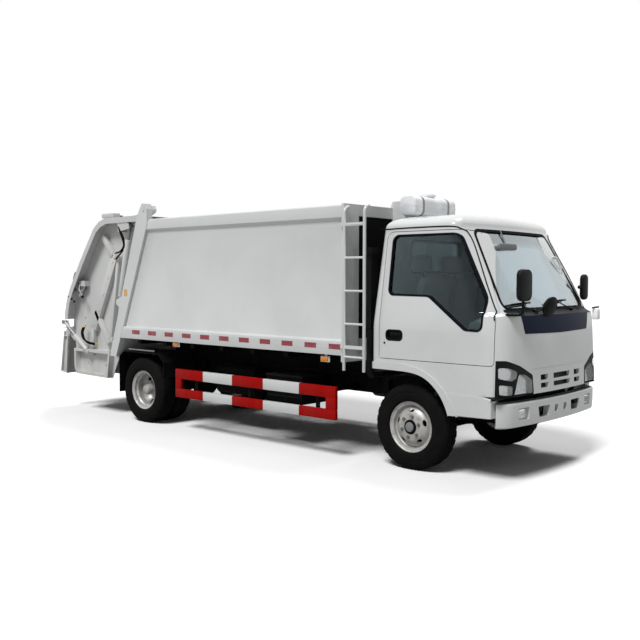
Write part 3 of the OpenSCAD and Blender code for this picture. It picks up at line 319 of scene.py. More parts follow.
WHITE = rgb(0.63, 0.645, 0.64)
FINISH = {
    "cab_white": (painted("cab_white", WHITE, 0.16, 0.7, 0.06, 0.0002), "white_paint"),
    "body_white": (painted("body_white", WHITE, 0.32, 0.25, 0.12, 0.0010), "white_paint"),
    "gate_white": (painted("gate_white", rgb(0.58, 0.59, 0.58), 0.38, 0.15, 0.35, 0.0008), "white_paint"),
    "black": (painted("chassis_black", rgb(0.003, 0.003, 0.003), 0.55, 0.0, 0.01, 0.0006, 0.05),
              "black_paint"),
    "red": (painted("guard_red", rgb(0.34, 0.002, 0.001), 0.36, 0.0, 0.02, 0.0004, 0.08), "red_paint"),
    "guard_white": (painted("guard_white", WHITE, 0.32, 0.2, 0.06, 0.0004), "white_paint"),
    "wheel_silver": (silver_lacquer("wheel_silver"), "silver_paint"),
    "steel": (metal("bare_steel", rgb(0.26, 0.255, 0.25), 0.52, (1.0, 1.0, 0.1)), "bare_steel"),
    "bright": (metal("bright_reflector", rgb(0.86, 0.87, 0.88), 0.10, stain=0.05), "chrome_rod"),
    "chrome": (metal("chromed_rod", rgb(0.30, 0.30, 0.31), 0.50, (1.0, 1.0, 0.2), 0.1), "chrome_rod"),
    "brass": (metal("brass_fitting", rgb(0.70, 0.45, 0.18), 0.3, stain=0.4), "bare_steel"),
    "cast": (painted("cast_grey", rgb(0.05, 0.05, 0.05), 0.6, 0.0, 0.2, 0.001, 0.2), "cast_grey"),
    "tyre": (rubber("tyre_rubber", dust=0.30, grain=40.0), "tyre"),
    "seal": (rubber("seal_rubber", rgb(0.004, 0.005, 0.007), 0.1, 200.0), "black_plastic"),
    "hose": (rubber("hose_rubber", rgb(0.004, 0.004, 0.004), 0.1, 300.0), "black_plastic"),
    "black_plastic": (moulded("black_plastic", rgb(0.004, 0.0042, 0.005), 0.45, shine=0.10), "black_plastic"),
    "gloss_black": (painted("gloss_black_panel", rgb(0.002, 0.009, 0.030), 0.30, 0.0, 0.0, 0.0, 0.05),
                    "black_plastic"),
    "grey_plastic": (moulded("grey_plastic", rgb(0.17, 0.175, 0.18), 0.55), "grey_plastic"),
    "trim": (moulded("cab_trim", rgb(0.42, 0.44, 0.46), 0.6), "grey_plastic"),
    "white_plastic": (moulded("white_plastic", rgb(0.74, 0.76, 0.78), 0.32, 90.0, 0.0003), "white_plastic"),
    "cloth": (woven("seat_cloth", rgb(0.46, 0.48, 0.50)), "grey_fabric"),
    "screen": (pane("windscreen_glass", rgb(0.84, 0.91, 0.93), 0.30, band=2.00), "glass"),
    "window": (pane("side_glass", rgb(0.74, 0.80, 0.81), -0.025), "glass"),
    "lamp_lens": (lens("lamp_lens", rgb(0.92, 0.93, 0.93), 0.18), "glass"),
    "amber_lens": (lens("amber_lens", rgb(0.95, 0.38, 0.03), 0.6), "glass"),
    "red_lens": (lens("red_lens", rgb(0.60, 0.01, 0.01), 0.7), "glass"),
    "mirror": (metal("mirror_glass", rgb(0.86, 0.88, 0.90), 0.03, stain=0.0), "chrome_rod"),
    "tape_red": (reflective("tape_red", rgb(0.24, 0.010, 0.025), rgb(0.36, 0.05, 0.07)), "red_paint"),
    "tape_silver": (reflective("tape_silver", rgb(0.56, 0.57, 0.57), rgb(0.80, 0.80, 0.80)), "silver_paint"),
    "amber_tape": (reflective("amber_tape", rgb(0.60, 0.30, 0.04), rgb(0.80, 0.55, 0.12)), "red_paint"),
}


# ---- Making meshes ----
def settle(piece, finish, body, crease=32, replaces=()):
    """Gives a made object its finish, shading and body."""
    material, slot = FINISH[finish]
    mesh = piece.data
    mesh.materials.clear()
    mesh.materials.append(material)
    mesh.shade_smooth()
    mesh.set_sharp_from_angle(angle=math.radians(crease))
    if piece.name not in bpy.context.scene.collection.objects:
        bpy.context.scene.collection.objects.link(piece)
    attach(piece, body)
    if replaces:
        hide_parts(*replaces)
    return piece


def circle(centre, axis, radius, sides=24, turn=0.0):
    axis = Vector(axis).normalized()
    across = axis.orthogonal().normalized()
    up = axis.cross(across)
    return [Vector(centre) + radius * (math.cos(a) * across + math.sin(a) * up)
            for a in (turn + 2 * math.pi * i / sides for i in range(sides))]


def smoothed(points, steps=6, closed=False):
    """A curve through the points."""
    points = [Vector(p) for p in points]
    count = len(points)
    out = []
    for i in range(count if closed else count - 1):
        a, b, c, d = (points[k % count] if closed else points[max(0, min(count - 1, k))]
                      for k in (i - 1, i, i + 1, i + 2))
        for k in range(steps):
            t = k / steps
            out.append(0.5 * (2 * b + t * (c - a) + t * t * (2 * a - 5 * b + 4 * c - d)
                              + t ** 3 * (3 * b - a - 3 * c + d)))
    return out if closed else out + [points[-1]]


def rounded(corners):
    """A closed flat outline from corners (a, b, radius)."""
    out = []
    for i, (a, b, radius) in enumerate(corners):
        here = Vector((a, b))
        if radius <= 0:
            out.append((a, b))
            continue
        back = (Vector(corners[i - 1][:2]) - here).normalized()
        on = (Vector(corners[(i + 1) % len(corners)][:2]) - here).normalized()
        half = back.angle(on) / 2
        centre = here + (back + on).normalized() * radius / math.sin(half)
        start = here + back * radius / math.tan(half) - centre
        sweep = start.angle_signed(here + on * radius / math.tan(half) - centre)
        turns = max(3, round(abs(sweep) / 0.22))
        for k in range(turns + 1):
            angle = -sweep * k / turns
            out.append((centre.x + start.x * math.cos(angle) - start.y * math.sin(angle),
                        centre.y + start.x * math.sin(angle) + start.y * math.cos(angle)))
    return out


def grown(outline, by):
    """The outline moved outwards by a distance."""
    count = len(outline)
    area = sum(outline[i - 1][0] * outline[i][1] - outline[i][0] * outline[i - 1][1] for i in range(count))
    out = []
    for i in range(count):
        here = Vector(outline[i])
        before = (here - Vector(outline[i - 1])).normalized()
        after = (Vector(outline[(i + 1) % count]) - here).normalized()
        normal = Vector((before.y + after.y, -before.x - after.x)).normalized()
        stretch = max(0.4, normal.dot(Vector((before.y, -before.x))))
        out.append(tuple(here + normal * (by if area > 0 else -by) / stretch))
    return out


def box_outline(a0, b0, a1, b1, radius):
    return rounded([(a0, b0, radius), (a1, b0, radius), (a1, b1, radius), (a0, b1, radius)])


# Edges that turn by more than this, in radians, are bevelled
SHARP_ANGLE = 0.45


class Shape:
    """Gathers closed solids into one mesh."""

    def __init__(self):
        self.bm = bmesh.new()

    def solid(self, points, faces, edge=0.0, steps=2):
        made = [self.bm.verts.new(p) for p in points]
        fresh = [self.bm.faces.new([made[i] for i in f]) for f in faces]
        bmesh.ops.recalc_face_normals(self.bm, faces=fresh)
        if edge:
            sharp = {e for f in fresh for e in f.edges
                     if len(e.link_faces) == 2 and e.calc_face_angle() > SHARP_ANGLE}
            bmesh.ops.bevel(self.bm, geom=list(sharp), offset=edge, segments=steps, profile=0.5,
                            affect="EDGES", clamp_overlap=True)
        return self

    def loft(self, rings, loop=False, edge=0.0):
        n, count = len(rings[0]), len(rings)
        faces = [(i * n + j, i * n + (j + 1) % n, (i + 1) % count * n + (j + 1) % n, (i + 1) % count * n + j)
                 for i in range(count if loop else count - 1) for j in range(n)]
        if not loop:
            faces += [tuple(range(n)), tuple(range((count - 1) * n, count * n))]
        return self.solid([p for ring in rings for p in ring], faces, edge)

    def box(self, a, b, edge=0.004):
        xs, ys, zs = zip(a, b)
        rings = [[(x, ys[0], zs[0]), (x, ys[1], zs[0]), (x, ys[1], zs[1]), (x, ys[0], zs[1])] for x in xs]
        return self.loft(rings, edge=edge)

    def plate(self, outline, axis, start, end, edge=0.0):
        """A flat outline drawn along an axis; its two numbers are the other two axes in order."""
        spot = {"x": lambda a, b, t: (t, a, b), "y": lambda a, b, t: (a, t, b),
                "z": lambda a, b, t: (a, b, t)}
        return self.loft([[spot[axis](a, b, t) for a, b in outline] for t in (start, end)], edge=edge)

    def rod(self, start, end, radius, tip=None, sides=20, edge=0.0, turn=0.0):
        axis = Vector(end) - Vector(start)
        return self.loft([circle(start, axis, radius, sides, turn),
                          circle(end, axis, radius if tip is None else tip, sides, turn)], edge=edge)

    def bar(self, start, end, width, depth, edge=0.003, up=(0, 1, 0)):
        """A flat bar: width across the plane that holds up, depth along up."""
        start, end, up = Vector(start), Vector(end), Vector(up)
        across = (end - start).cross(up).normalized() * width / 2
        lift = up.normalized() * depth / 2
        return self.loft([[p - across - lift, p + across - lift, p + across + lift, p - across + lift]
                          for p in (start, end)], edge=edge)

    def lathe(self, profile, centre, axis, sides=48, loop=False):
        """profile is (distance along the axis, radius) pairs."""
        centre, axis = Vector(centre), Vector(axis).normalized()
        return self.loft([circle(centre + axis * a, axis, r, sides) for a, r in profile], loop)

    def tube(self, points, radius, sides=10, closed=False):
        points = [Vector(p) for p in points]
        count = len(points)
        side = (points[1] - points[0]).orthogonal().normalized()
        rings = []
        for i, point in enumerate(points):
            ahead = points[(i + 1) % count] if closed or i < count - 1 else point
            behind = points[i - 1] if closed or i else point
            way = (ahead - behind).normalized()
            side = (side - way * side.dot(way)).normalized()
            up = way.cross(side)
            rings.append([point + radius * (math.cos(a) * side + math.sin(a) * up)
                          for a in (2 * math.pi * k / sides for k in range(sides))])
        return self.loft(rings, closed)

    def ball(self, centre, radius, flat=1.0, axis=(0, 0, 1), sides=20):
        rings = [(radius * flat * math.sin(a), max(radius * math.cos(a), 0.0006))
                 for a in (math.pi * (i / 12 - 0.5) for i in range(13))]
        return self.lathe(rings, centre, axis, sides)

    def bolts(self, places, axis, radius=0.008, height=0.006):
        axis = Vector(axis).normalized()
        for place in places:
            place = Vector(place)
            self.rod(place, place + axis * height * 0.3, radius * 1.45, sides=16)
            self.rod(place, place + axis * height, radius, radius * 0.9, sides=6)
        return self

    def both(self):
        """Adds the mirror image on the vehicle's other side."""
        parts = self.bm.verts[:] + self.bm.edges[:] + self.bm.faces[:]
        copied = bmesh.ops.duplicate(self.bm, geom=parts)["geom"]
        for part in copied:
            if isinstance(part, bmesh.types.BMVert):
                part.co.y = -part.co.y
        bmesh.ops.reverse_faces(self.bm, faces=[g for g in copied if isinstance(g, bmesh.types.BMFace)])
        return self

    def raw(self, name):
        mesh = bpy.data.meshes.new(name)
        self.bm.to_mesh(mesh)
        self.bm.free()
        made = bpy.data.objects.new(name, mesh)
        bpy.context.scene.collection.objects.link(made)
        return made

    def piece(self, name, finish, body, crease=32, replaces=()):
        return settle(self.raw(name), finish, body, crease, replaces)


def joined(base, tool, operation):
    """base with tool cut away, kept or added. The tool is used up."""
    cut = base.modifiers.new("cut", "BOOLEAN")
    cut.operation, cut.object, cut.solver = operation, tool, "MANIFOLD"
    bpy.context.view_layer.update()
    made = bpy.data.meshes.new_from_object(base.evaluated_get(bpy.context.evaluated_depsgraph_get()))
    base.modifiers.clear()
    base.data = made
    bpy.data.objects.remove(tool)
    return base


def less(base, *tools):
    for tool in tools:
        joined(base, tool, "DIFFERENCE")
    return base


# ---- Cab form ----
BELT, GUTTER, ROOF = 1.290, 2.150, high("cab_shell").z
GUTTER_HALF = 0.830
CHIN = 0.736
SCREEN_FOOT = 1.395
SEAM = FRONT + 0.861


def ramp(distance, softness=0.02):
    return (distance + math.hypot(distance, softness)) / 2


def cab_half(z):
    return HALF - (HALF - GUTTER_HALF) / (GUTTER - BELT) * ramp(z - BELT, 0.04)


def clamped(value):
    return max(0.0, min(1.0, value))


def cab_front(z):
    return (NOSE - 0.05 * ramp(z - CHIN, 0.01) - 0.06 * clamped((z - SCREEN_FOOT) / 0.03)
            - 0.494 * ramp(z - 1.40) - 0.162 * clamped((CHIN - z) / 0.034))


def cab_back(z):
    return BACK + 0.0647 * ramp(z - 1.30)


def cab_ring(z, out, steps=26):
    """Plan outline of the cab at a height, grown by out."""
    width, back, tail = cab_half(z) + out, cab_back(z) - out, 0.05 + out
    front = cab_front(z) + out * (1.12 if z > SCREEN_FOOT else 1.0)
    lower = z <= CHIN - 0.02
    nose = max(0.008, (0.02 if lower else max(0.07, 0.22 - 0.16 * max(0.0, z - SCREEN_FOOT))) + out)
    bow = 0.01 if lower else 0.075
    tilt = math.atan(1.5 * bow / width)
    turn_y = width - nose * (1 - math.sin(tilt))
    turn_x = front - bow * (turn_y / width) ** 2
    hub = turn_x - nose * math.cos(tilt)
    half = [(back, -(width - tail) * i / 8) for i in range(8)]
    half += [(back + tail - tail * math.cos(a), tail - width - tail * math.sin(a))
             for a in (math.pi / 2 * i / 6 for i in range(6))]
    half += [(back + tail + (hub - back - tail) * i / steps, -width) for i in range(steps)]
    half += [(hub + nose * math.sin(a), nose - width - nose * math.cos(a))
             for a in ((math.pi / 2 - tilt) * i / 12 for i in range(12))]
    half += [(front - bow * (turn_y * t / width) ** 2, -turn_y * t) for t in (1 - i / 12 for i in range(13))]
    return half + [(x, -y) for x, y in reversed(half[1:-1])]


def cab_form(out):
    """The cab's whole closed outer form, grown by out."""
    heights = [0.45 - out, 0.50, 0.55, 0.62, 0.70 - out, 0.717 - out, CHIN - out]
    heights += [0.76 + 0.04 * i for i in range(16)]
    heights += [1.385, 1.395, 1.410, 1.425] + [1.44 + 0.0355 * i for i in range(20)] + [GUTTER]
    rings = [[(x, y, z) for x, y in cab_ring(z, out)] for z in heights]
    edge = cab_ring(GUTTER, out)
    centre = (max(p[0] for p in edge) + min(p[0] for p in edge)) / 2
    for share in (0.996, 0.988, 0.975, 0.955, 0.93, 0.89, 0.84, 0.77, 0.68, 0.58, 0.46, 0.34, 0.22, 0.1):
        rise = (ROOF - GUTTER + out) * (1 - share ** 4) ** 0.45
        rings.append([(centre + (x - centre) * share, y * share, GUTTER + rise) for x, y in edge])
    return Shape().loft(rings).raw("form")


FORMS = {}


def form(out):
    """A fresh copy of the cab's form."""
    if out not in FORMS:
        FORMS[out] = cab_form(out)
        FORMS[out].hide_render = True
    made = FORMS[out].copy()
    made.hide_render = False
    bpy.context.scene.collection.objects.link(made)
    return made


def prism(outline, view):
    """A cutter through one side of the cab."""
    axis, start, end = {"front": ("x", FRONT + 0.30, 3.60), "nose": ("x", SEAM + 0.008, 3.60),
                        "back": ("x", 1.80, BACK + 0.30), "right": ("y", -1.2, -0.45),
                        "left": ("y", 0.45, 1.2)}[view]
    return Shape().plate(outline, axis, start, end).raw("prism")


def patch(name, outline, view, out, deep, finish, body, holes=(), replaces=(), crease=32):
    """A piece of the cab's skin: outline seen in a view, from out above the skin to deep below it."""
    made = joined(form(out), prism(outline, view), "INTERSECT")
    less(made, form(deep), *[prism(hole, view) for hole in holes])
    made.name = name
    return settle(made, finish, body, crease, replaces)


def skin_point(view, a, b, out=0.0):
    """The point of the cab's skin at (y, z) from the front or (x, z) from a side, moved out by out."""
    if view == "front":
        ring = [p for p in cab_ring(b, out) if p[0] > FRONT + 0.3]
        ring.sort(key=lambda p: p[1])
        for (x0, y0), (x1, y1) in zip(ring, ring[1:]):
            if y0 <= a <= y1:
                return Vector((x0 + (x1 - x0) * (a - y0) / (y1 - y0 + 1e-9), a, b))
        return Vector((ring[-1][0], a, b))
    sign = RIGHT if view == "right" else LEFT
    ring = sorted(p for p in cab_ring(b, out) if p[1] < -0.6)
    for (x0, y0), (x1, y1) in zip(ring, ring[1:]):
        if x0 <= a <= x1:
            return Vector((a, -sign * (y0 + (y1 - y0) * (a - x0) / (x1 - x0 + 1e-9)), b))
    return Vector((a, sign * cab_half(b), b))


# ---- Cab outlines: side views are (x, z), front views are (y, z) ----
DOOR = rounded([(2.037, 0.985, 0.03), (SEAM, 0.985, 0.03), (SEAM, 1.400, 0.22), (2.862, 2.124, 0.09),
                (2.062, 2.124, 0.07), (2.037, 1.33, 0.0)])
WINDOW = rounded([(2.120, 1.561, 0.05), (2.131, 2.086, 0.06), (2.810, 2.086, 0.09), (3.100, 1.530, 0.18),
                  (3.094, 1.271, 0.045), (2.935, 1.276, 0.06), (2.550, 1.555, 0.10)])
SCREEN = rounded([(-0.745, 1.447, 0.07), (0.745, 1.447, 0.07), (0.640, 2.122, 0.07), (-0.640, 2.122, 0.07)])
REAR_WINDOW = box_outline(-0.430, 1.765, 0.430, 2.064, 0.05)
ARCH = [tuple(p) for p in smoothed([(FRONT - 0.50, 0.888), (FRONT - 0.20, 0.889), (FRONT + 0.06, 0.880),
                                    (FRONT + 0.21, 0.838), (FRONT + 0.33, 0.745), (FRONT + 0.41, 0.630),
                                    (FRONT + 0.452, 0.520), (FRONT + 0.47, 0.44)], 5)]
PANEL_FRONT = FRONT + 0.856
UNDERSIDE = ARCH[:-6] + [(FRONT + 0.452, 0.545), (PANEL_FRONT, 0.556), (PANEL_FRONT, 0.70), (3.45, 0.73),
                         (3.45, 0.40), (1.80, 0.40), (1.80, 0.888)]
BEZEL = rounded([(-0.960, 1.034, 0.0), (-0.827, 1.032, 0.04), (-0.660, 0.980, 0.10), (-0.492, 0.898, 0.03),
                 (-0.480, 0.722, 0.01), (-0.960, 0.722, 0.0)])
TURN_LENS = rounded([(-0.880, 0.975, 0.015), (-0.816, 0.975, 0.03), (-0.716, 0.940, 0.02),
                     (-0.726, 0.886, 0.02),
                     (-0.791, 0.862, 0.03), (-0.880, 0.886, 0.015)])
LOW_LENS = rounded([(-0.878, 0.836, 0.012), (-0.778, 0.823, 0.015), (-0.782, 0.740, 0.015),
                    (-0.878, 0.752, 0.012)])
MAIN_LENS = rounded([(-0.690, 0.916, 0.03), (-0.600, 0.906, 0.05), (-0.505, 0.856, 0.03),
                     (-0.508, 0.736, 0.015), (-0.765, 0.736, 0.02)])
NAME_PANEL = rounded([(-0.630, 1.400, 0.0), (-0.590, 1.262, 0.0), (-0.580, 1.243, 0.01), (0.0, 1.234, 0.0),
                      (0.580, 1.243, 0.01), (0.590, 1.262, 0.0), (0.630, 1.400, 0.0)])
SLOTS = [box_outline(y0, z0, y1, z1, 0.006) for y0, y1 in ((-0.370, -0.245), (-0.155, 0.155), (0.245, 0.370))
         for z0, z1 in ((0.776, 0.818), (0.842, 0.889))]


def mirrored(outline):
    return [(-a, b) for a, b in outline]


def cab_body():
    lip = 0.003
    shell = less(form(0.0), form(-0.032))
    cuts = [Shape().plate(UNDERSIDE, "y", -1.2, 1.2).raw("arch"), prism(SCREEN, "front"),
            prism(REAR_WINDOW, "back"), prism(BEZEL, "nose"), prism(mirrored(BEZEL), "nose")]
    cuts += [prism(DOOR, side) for side in ("right", "left")]
    cuts += [prism(slot, "front") for slot in SLOTS]
    less(shell, *cuts)
    for line, view in ((box_outline(-0.500, 0.943, 0.500, 0.948, 0.001), "front"),
                       (box_outline(SEAM - 0.0025, 0.690, SEAM + 0.0025, 0.980, 0.001), "right"),
                       (box_outline(SEAM - 0.0025, 0.690, SEAM + 0.0025, 0.980, 0.001), "left")):
        groove = joined(form(0.02), prism(line, view), "INTERSECT")
        less(shell, less(groove, form(-lip)))
    shell.name = "cab_shell_skin"
    settle(shell, "cab_white", "cab", replaces=["cab_shell"])

    patch("name_panel", NAME_PANEL, "front", 0.002, -0.004, "gloss_black", "cab")
    patch("cowl", rounded([(-0.730, 1.393, 0.01), (0.730, 1.393, 0.01), (0.755, 1.446, 0.01),
                           (-0.755, 1.446, 0.01)]), "front", 0.004, -0.01, "black_plastic", "cab")
    patch("grille_backing", box_outline(-0.45, 0.745, 0.45, 0.93, 0.01), "front", -0.036, -0.042,
          "black_plastic", "cab")
    patch("chin_strip", box_outline(-0.925, 0.700, 0.925, 0.7355, 0.002), "front", 0.001, -0.05,
          "black_plastic", "cab")
    patch("windscreen", grown(SCREEN, -0.001), "front", -0.010, -0.016, "screen", "cab",
          replaces=["cab_glass"])
    patch("windscreen_seal", grown(SCREEN, 0.013), "front", 0.004, -0.022, "seal", "cab",
          [grown(SCREEN, -0.010)])
    patch("rear_window", grown(REAR_WINDOW, -0.001), "back", -0.012, -0.017, "window", "cab")
    patch("rear_window_seal", grown(REAR_WINDOW, 0.014), "back", 0.003, -0.034, "seal", "cab",
          [grown(REAR_WINDOW, -0.012)])
    for side, name in ((RIGHT, "right"), (LEFT, "left")):
        turn = mirrored if side == LEFT else list
        flare = ARCH[:-6] + [(FRONT + 0.452, 0.545), (FRONT + 0.525, 0.548)]
        outer = [(x + 0.075 * k, z + 0.062 * (1 - 0.8 * k)) for i, (x, z) in enumerate(ARCH[:-6])
                 for k in [min(1.0, max(0.0, (i - 8) / 18))]]
        patch(f"arch_flare_{name}", flare + outer[::-1], name, 0.013, -0.02, "cab_white", "cab", crease=50)
        patch(f"corner_panel_{name}", rounded([(FRONT + 0.50, 0.553, 0.0), (PANEL_FRONT - 0.003, 0.560, 0.0),
              (PANEL_FRONT - 0.003, 0.730, 0.01), (FRONT + 0.405, 0.730, 0.01)]), name, 0.007, -0.02,
              "cab_white", "cab")
        patch(f"lamp_bezel_{name}", grown(turn(BEZEL), -0.002), "nose", 0.001, -0.05, "black_plastic", "cab",
              [grown(turn(o), -0.001) for o in (TURN_LENS, LOW_LENS, MAIN_LENS)])
        for kind, outline in (("turn", TURN_LENS), ("low", LOW_LENS), ("main", MAIN_LENS)):
            patch(f"{kind}_lens_{name}", grown(turn(outline), -0.0015), "nose", 0.003, -0.002, "lamp_lens",
                  "cab")
            patch(f"{kind}_reflector_{name}", grown(turn(outline), -0.002), "nose", -0.030, -0.045,
                  "bright", "cab")
        lining = [grown(WINDOW, 0.01)]
        patch(f"door_trim_{name}", grown(DOOR, -0.03), name, -0.0335, -0.045, "trim", f"{name}_door", lining)
        patch(f"door_frame_seal_{name}", grown(DOOR, 0.014), name, -0.034, -0.044, "seal", "cab",
              [grown(DOOR, -0.026)])


def cab_doors():
    handle = box_outline(2.116, 1.155, 2.294, 1.245, 0.035)
    for side, name in ((RIGHT, "right"), (LEFT, "left")):
        body = f"{name}_door"
        patch(f"door_{name}_skin", grown(DOOR, -0.0055), name, 0.0, -0.032, "cab_white", body,
              [WINDOW, handle], replaces=[f"door_{name}"])
        patch(f"door_{name}_pane", grown(WINDOW, -0.001), name, -0.012, -0.017, "window", body,
              replaces=[f"door_glass_{name}"])
        patch(f"door_{name}_seal", grown(WINDOW, 0.009), name, 0.003, -0.034, "seal", body,
              [grown(WINDOW, -0.008)])
        patch(f"handle_cup_{name}", grown(handle, 0.006), name, 0.0015, -0.034, "black_plastic", body,
              [grown(handle, -0.008)])
        skin = side * cab_half(1.2)
        bits = Shape()
        bits.plate(grown(handle, -0.006), "y", skin - side * 0.036, skin - side * 0.030)
        bits.box((2.150, min(skin - side * 0.006, skin - side * 0.020), 1.196),
                 (2.275, max(skin - side * 0.006, skin - side * 0.020), 1.226), 0.006)
        bits.rod((2.100, skin - side * 0.01, 1.128), (2.100, skin + side * 0.003, 1.128), 0.012, 0.010)
        bits.piece(f"handle_{name}", "black_plastic", body)


def cab_gutters():
    line = [(1.995, 2.146), (2.30, 2.152), (2.70, 2.150), (2.80, 2.128), (2.850, 2.070), (2.964, 1.857),
            (3.072, 1.634), (3.144, 1.484), (3.178, 1.415), (3.190, 1.36)]
    shape = Shape().tube([skin_point("right", x, z, 0.001) for x, z in smoothed(line, 8)], 0.006, 8)
    shape.both().piece("gutter_strips", "seal", "cab")


cab_body()
cab_doors()
cab_gutters()


# ---- Bumper ----
def bumper_path():
    path = [p for p in cab_ring(CHIN, -0.010) if p[0] > FRONT + 0.872]
    return sorted(path, key=lambda p: math.atan2(p[1], p[0] - FRONT - 0.6))


def front_bumper():
    top, foot = high("front_bumper").z, low("front_bumper").z
    section = rounded([(-0.060, foot + 0.004, 0.004), (-0.006, foot, 0.020), (0.0, foot + 0.10, 0.0),
                       (0.0, top - 0.012, 0.018), (-0.060, top, 0.006)])
    path = bumper_path()
    rings = []
    for i, (x, y) in enumerate(path):
        a, b = Vector(path[max(0, i - 1)]), Vector(path[min(len(path) - 1, i + 1)])
        way = (b - a).normalized()
        outward = Vector((way.y, -way.x))
        rings.append([(x + outward.x * d, y + outward.y * d, z) for d, z in section])
    bar = Shape().loft(rings).raw("bumper")
    tow = [(-0.392, 0.617, 0.01), (-0.198, 0.617, 0.01), (-0.212, 0.525, 0.02), (-0.372, 0.525, 0.02)]
    holes = [rounded(tow), mirrored(rounded(tow))]
    holes += [box_outline(y - 0.033, 0.546, y + 0.033, 0.608, 0.02) for y in (-0.083, 0.083)]
    pockets = [box_outline(-0.678, 0.530, -0.525, 0.630, 0.012)]
    pockets.append(mirrored(pockets[0]))
    less(bar, *[prism(hole, "front") for hole in holes])
    deep = 0.028
    for pocket in pockets:
        cutter = prism(pocket, "front")
        face = Shape().plate(grown(pocket, 0.02), "x", 2.4, NOSE - 0.040 - deep).raw("back")
        less(bar, less(cutter, face))
    bar.name = "bumper_skin"
    settle(bar, "cab_white", "chassis", 34, ["front_bumper"])
    backing = Shape()
    backing.box((NOSE - 0.105, -0.80, foot + 0.02), (NOSE - 0.09, 0.80, top - 0.03), 0.004)
    backing.piece("bumper_beam", "black", "chassis")
    fog = Shape()
    lenses = Shape()
    for side in (RIGHT, LEFT):
        y0, y1 = sorted((side * 0.662, side * 0.541))
        fog.box((NOSE - 0.075, y0, 0.545), (NOSE - 0.055, y1, 0.616), 0.008)
        lenses.box((NOSE - 0.055, y0 + 0.006, 0.551), (NOSE - 0.047, y1 - 0.006, 0.610), 0.003)
    fog.piece("fog_lamps", "bright", "chassis")
    lenses.piece("fog_lenses", "lamp_lens", "chassis")


front_bumper()


# ---- Wheels ----
FRONT_Y, REAR_Y, TWIN = 0.772, 0.856, 0.240
RIM_EDGE = [(-0.084, 0.228), (-0.077, 0.222), (-0.072, 0.204), (-0.046, 0.200), (-0.032, 0.186)]
FRONT_DISC = [(0.030, 0.184), (0.050, 0.172), (0.072, 0.150), (0.084, 0.128), (0.088, 0.112), (0.088, 0.066)]
OUTER_DISC = [(-0.020, 0.184), (-0.050, 0.172), (-0.085, 0.155), (-0.105, 0.135), (-0.110, 0.120),
              (-0.110, 0.080)]
INNER_DISC = [(0.030, 0.184), (0.060, 0.172), (0.094, 0.155), (0.112, 0.135), (0.119, 0.120), (0.119, 0.080)]
SIDEWALL = [(-0.0715, 0.2035), (-0.0765, 0.229), (-0.090, 0.232), (-0.099, 0.240), (-0.102, 0.252),
            (-0.1065, 0.285), (-0.1062, 0.300), (-0.1040, 0.303), (-0.1050, 0.309), (-0.104, 0.330),
            (-0.097, 0.352), (-0.090, 0.367)]


def oval(x, z, radius, angle, half_out, half_round):
    """An oval hole in a wheel's disc, as (x, z)."""
    outline = []
    for turn in (2 * math.pi * k / 20 for k in range(20)):
        out, around = radius + half_out * math.cos(turn), half_round * math.sin(turn)
        outline.append((x + out * math.cos(angle) - around * math.sin(angle),
                        z + out * math.sin(angle) + around * math.cos(angle)))
    return outline


def rim(x, y, way, disc, holes):
    """A wheel rim whose disc lies at disc's (depth, radius) points, outwards by way."""
    outer = RIM_EDGE + [(-a, r) for a, r in reversed(RIM_EDGE)]
    inner = [(a * 0.97, r - 0.007) for a, r in reversed(outer)]
    made = Shape().lathe(outer + inner, (x, y, AXLE_Z), (0, way, 0), 72, True).raw("rim")
    face = [(a - 0.009, r) for a, r in reversed(disc)]
    plate = Shape().lathe(disc + face, (x, y, AXLE_Z), (0, way, 0), 72, True).raw("disc")
    cuts = Shape()
    for k in range(holes):
        angle = 2 * math.pi * (k + 0.25) / holes
        cuts.plate(oval(x, AXLE_Z, 0.148, angle, 0.015, 0.030), "y", y - 0.2, y + 0.2)
    return joined(made, less(plate, cuts.raw("holes")), "UNION")


def tyre(shape, x, y):
    """A road tyre with four zigzag grooves and cut shoulders."""
    rings = []
    turns = 150
    for i in range(turns):
        swing = 0.0022 if i // 2 % 2 else -0.0022
        notch = 0.008 if i % 5 == 0 else 0.0
        tread = [(-0.083, 0.378 - notch), (-0.076, 0.3835 - notch)]
        for groove in (-0.046, -0.0155, 0.0155, 0.046):
            tread += [(groove + swing + d, r) for d, r in ((-0.0045, 0.385), (-0.003, 0.374), (0.003, 0.374),
                                                            (0.0045, 0.385))]
        tread += [(0.076, 0.3835 - notch), (0.083, 0.378 - notch)]
        profile = SIDEWALL + tread + [(-a, r) for a, r in reversed(SIDEWALL)]
        angle = 2 * math.pi * i / turns
        rings.append([(x + r * math.cos(angle), y + a, AXLE_Z + r * math.sin(angle)) for a, r in profile])
    return shape.loft(rings, True)


def ring_places(x, y, radius, count, turn=0.3):
    return [(x + radius * math.cos(a), y, AXLE_Z + radius * math.sin(a))
            for a in (turn + 2 * math.pi * k / count for k in range(count))]


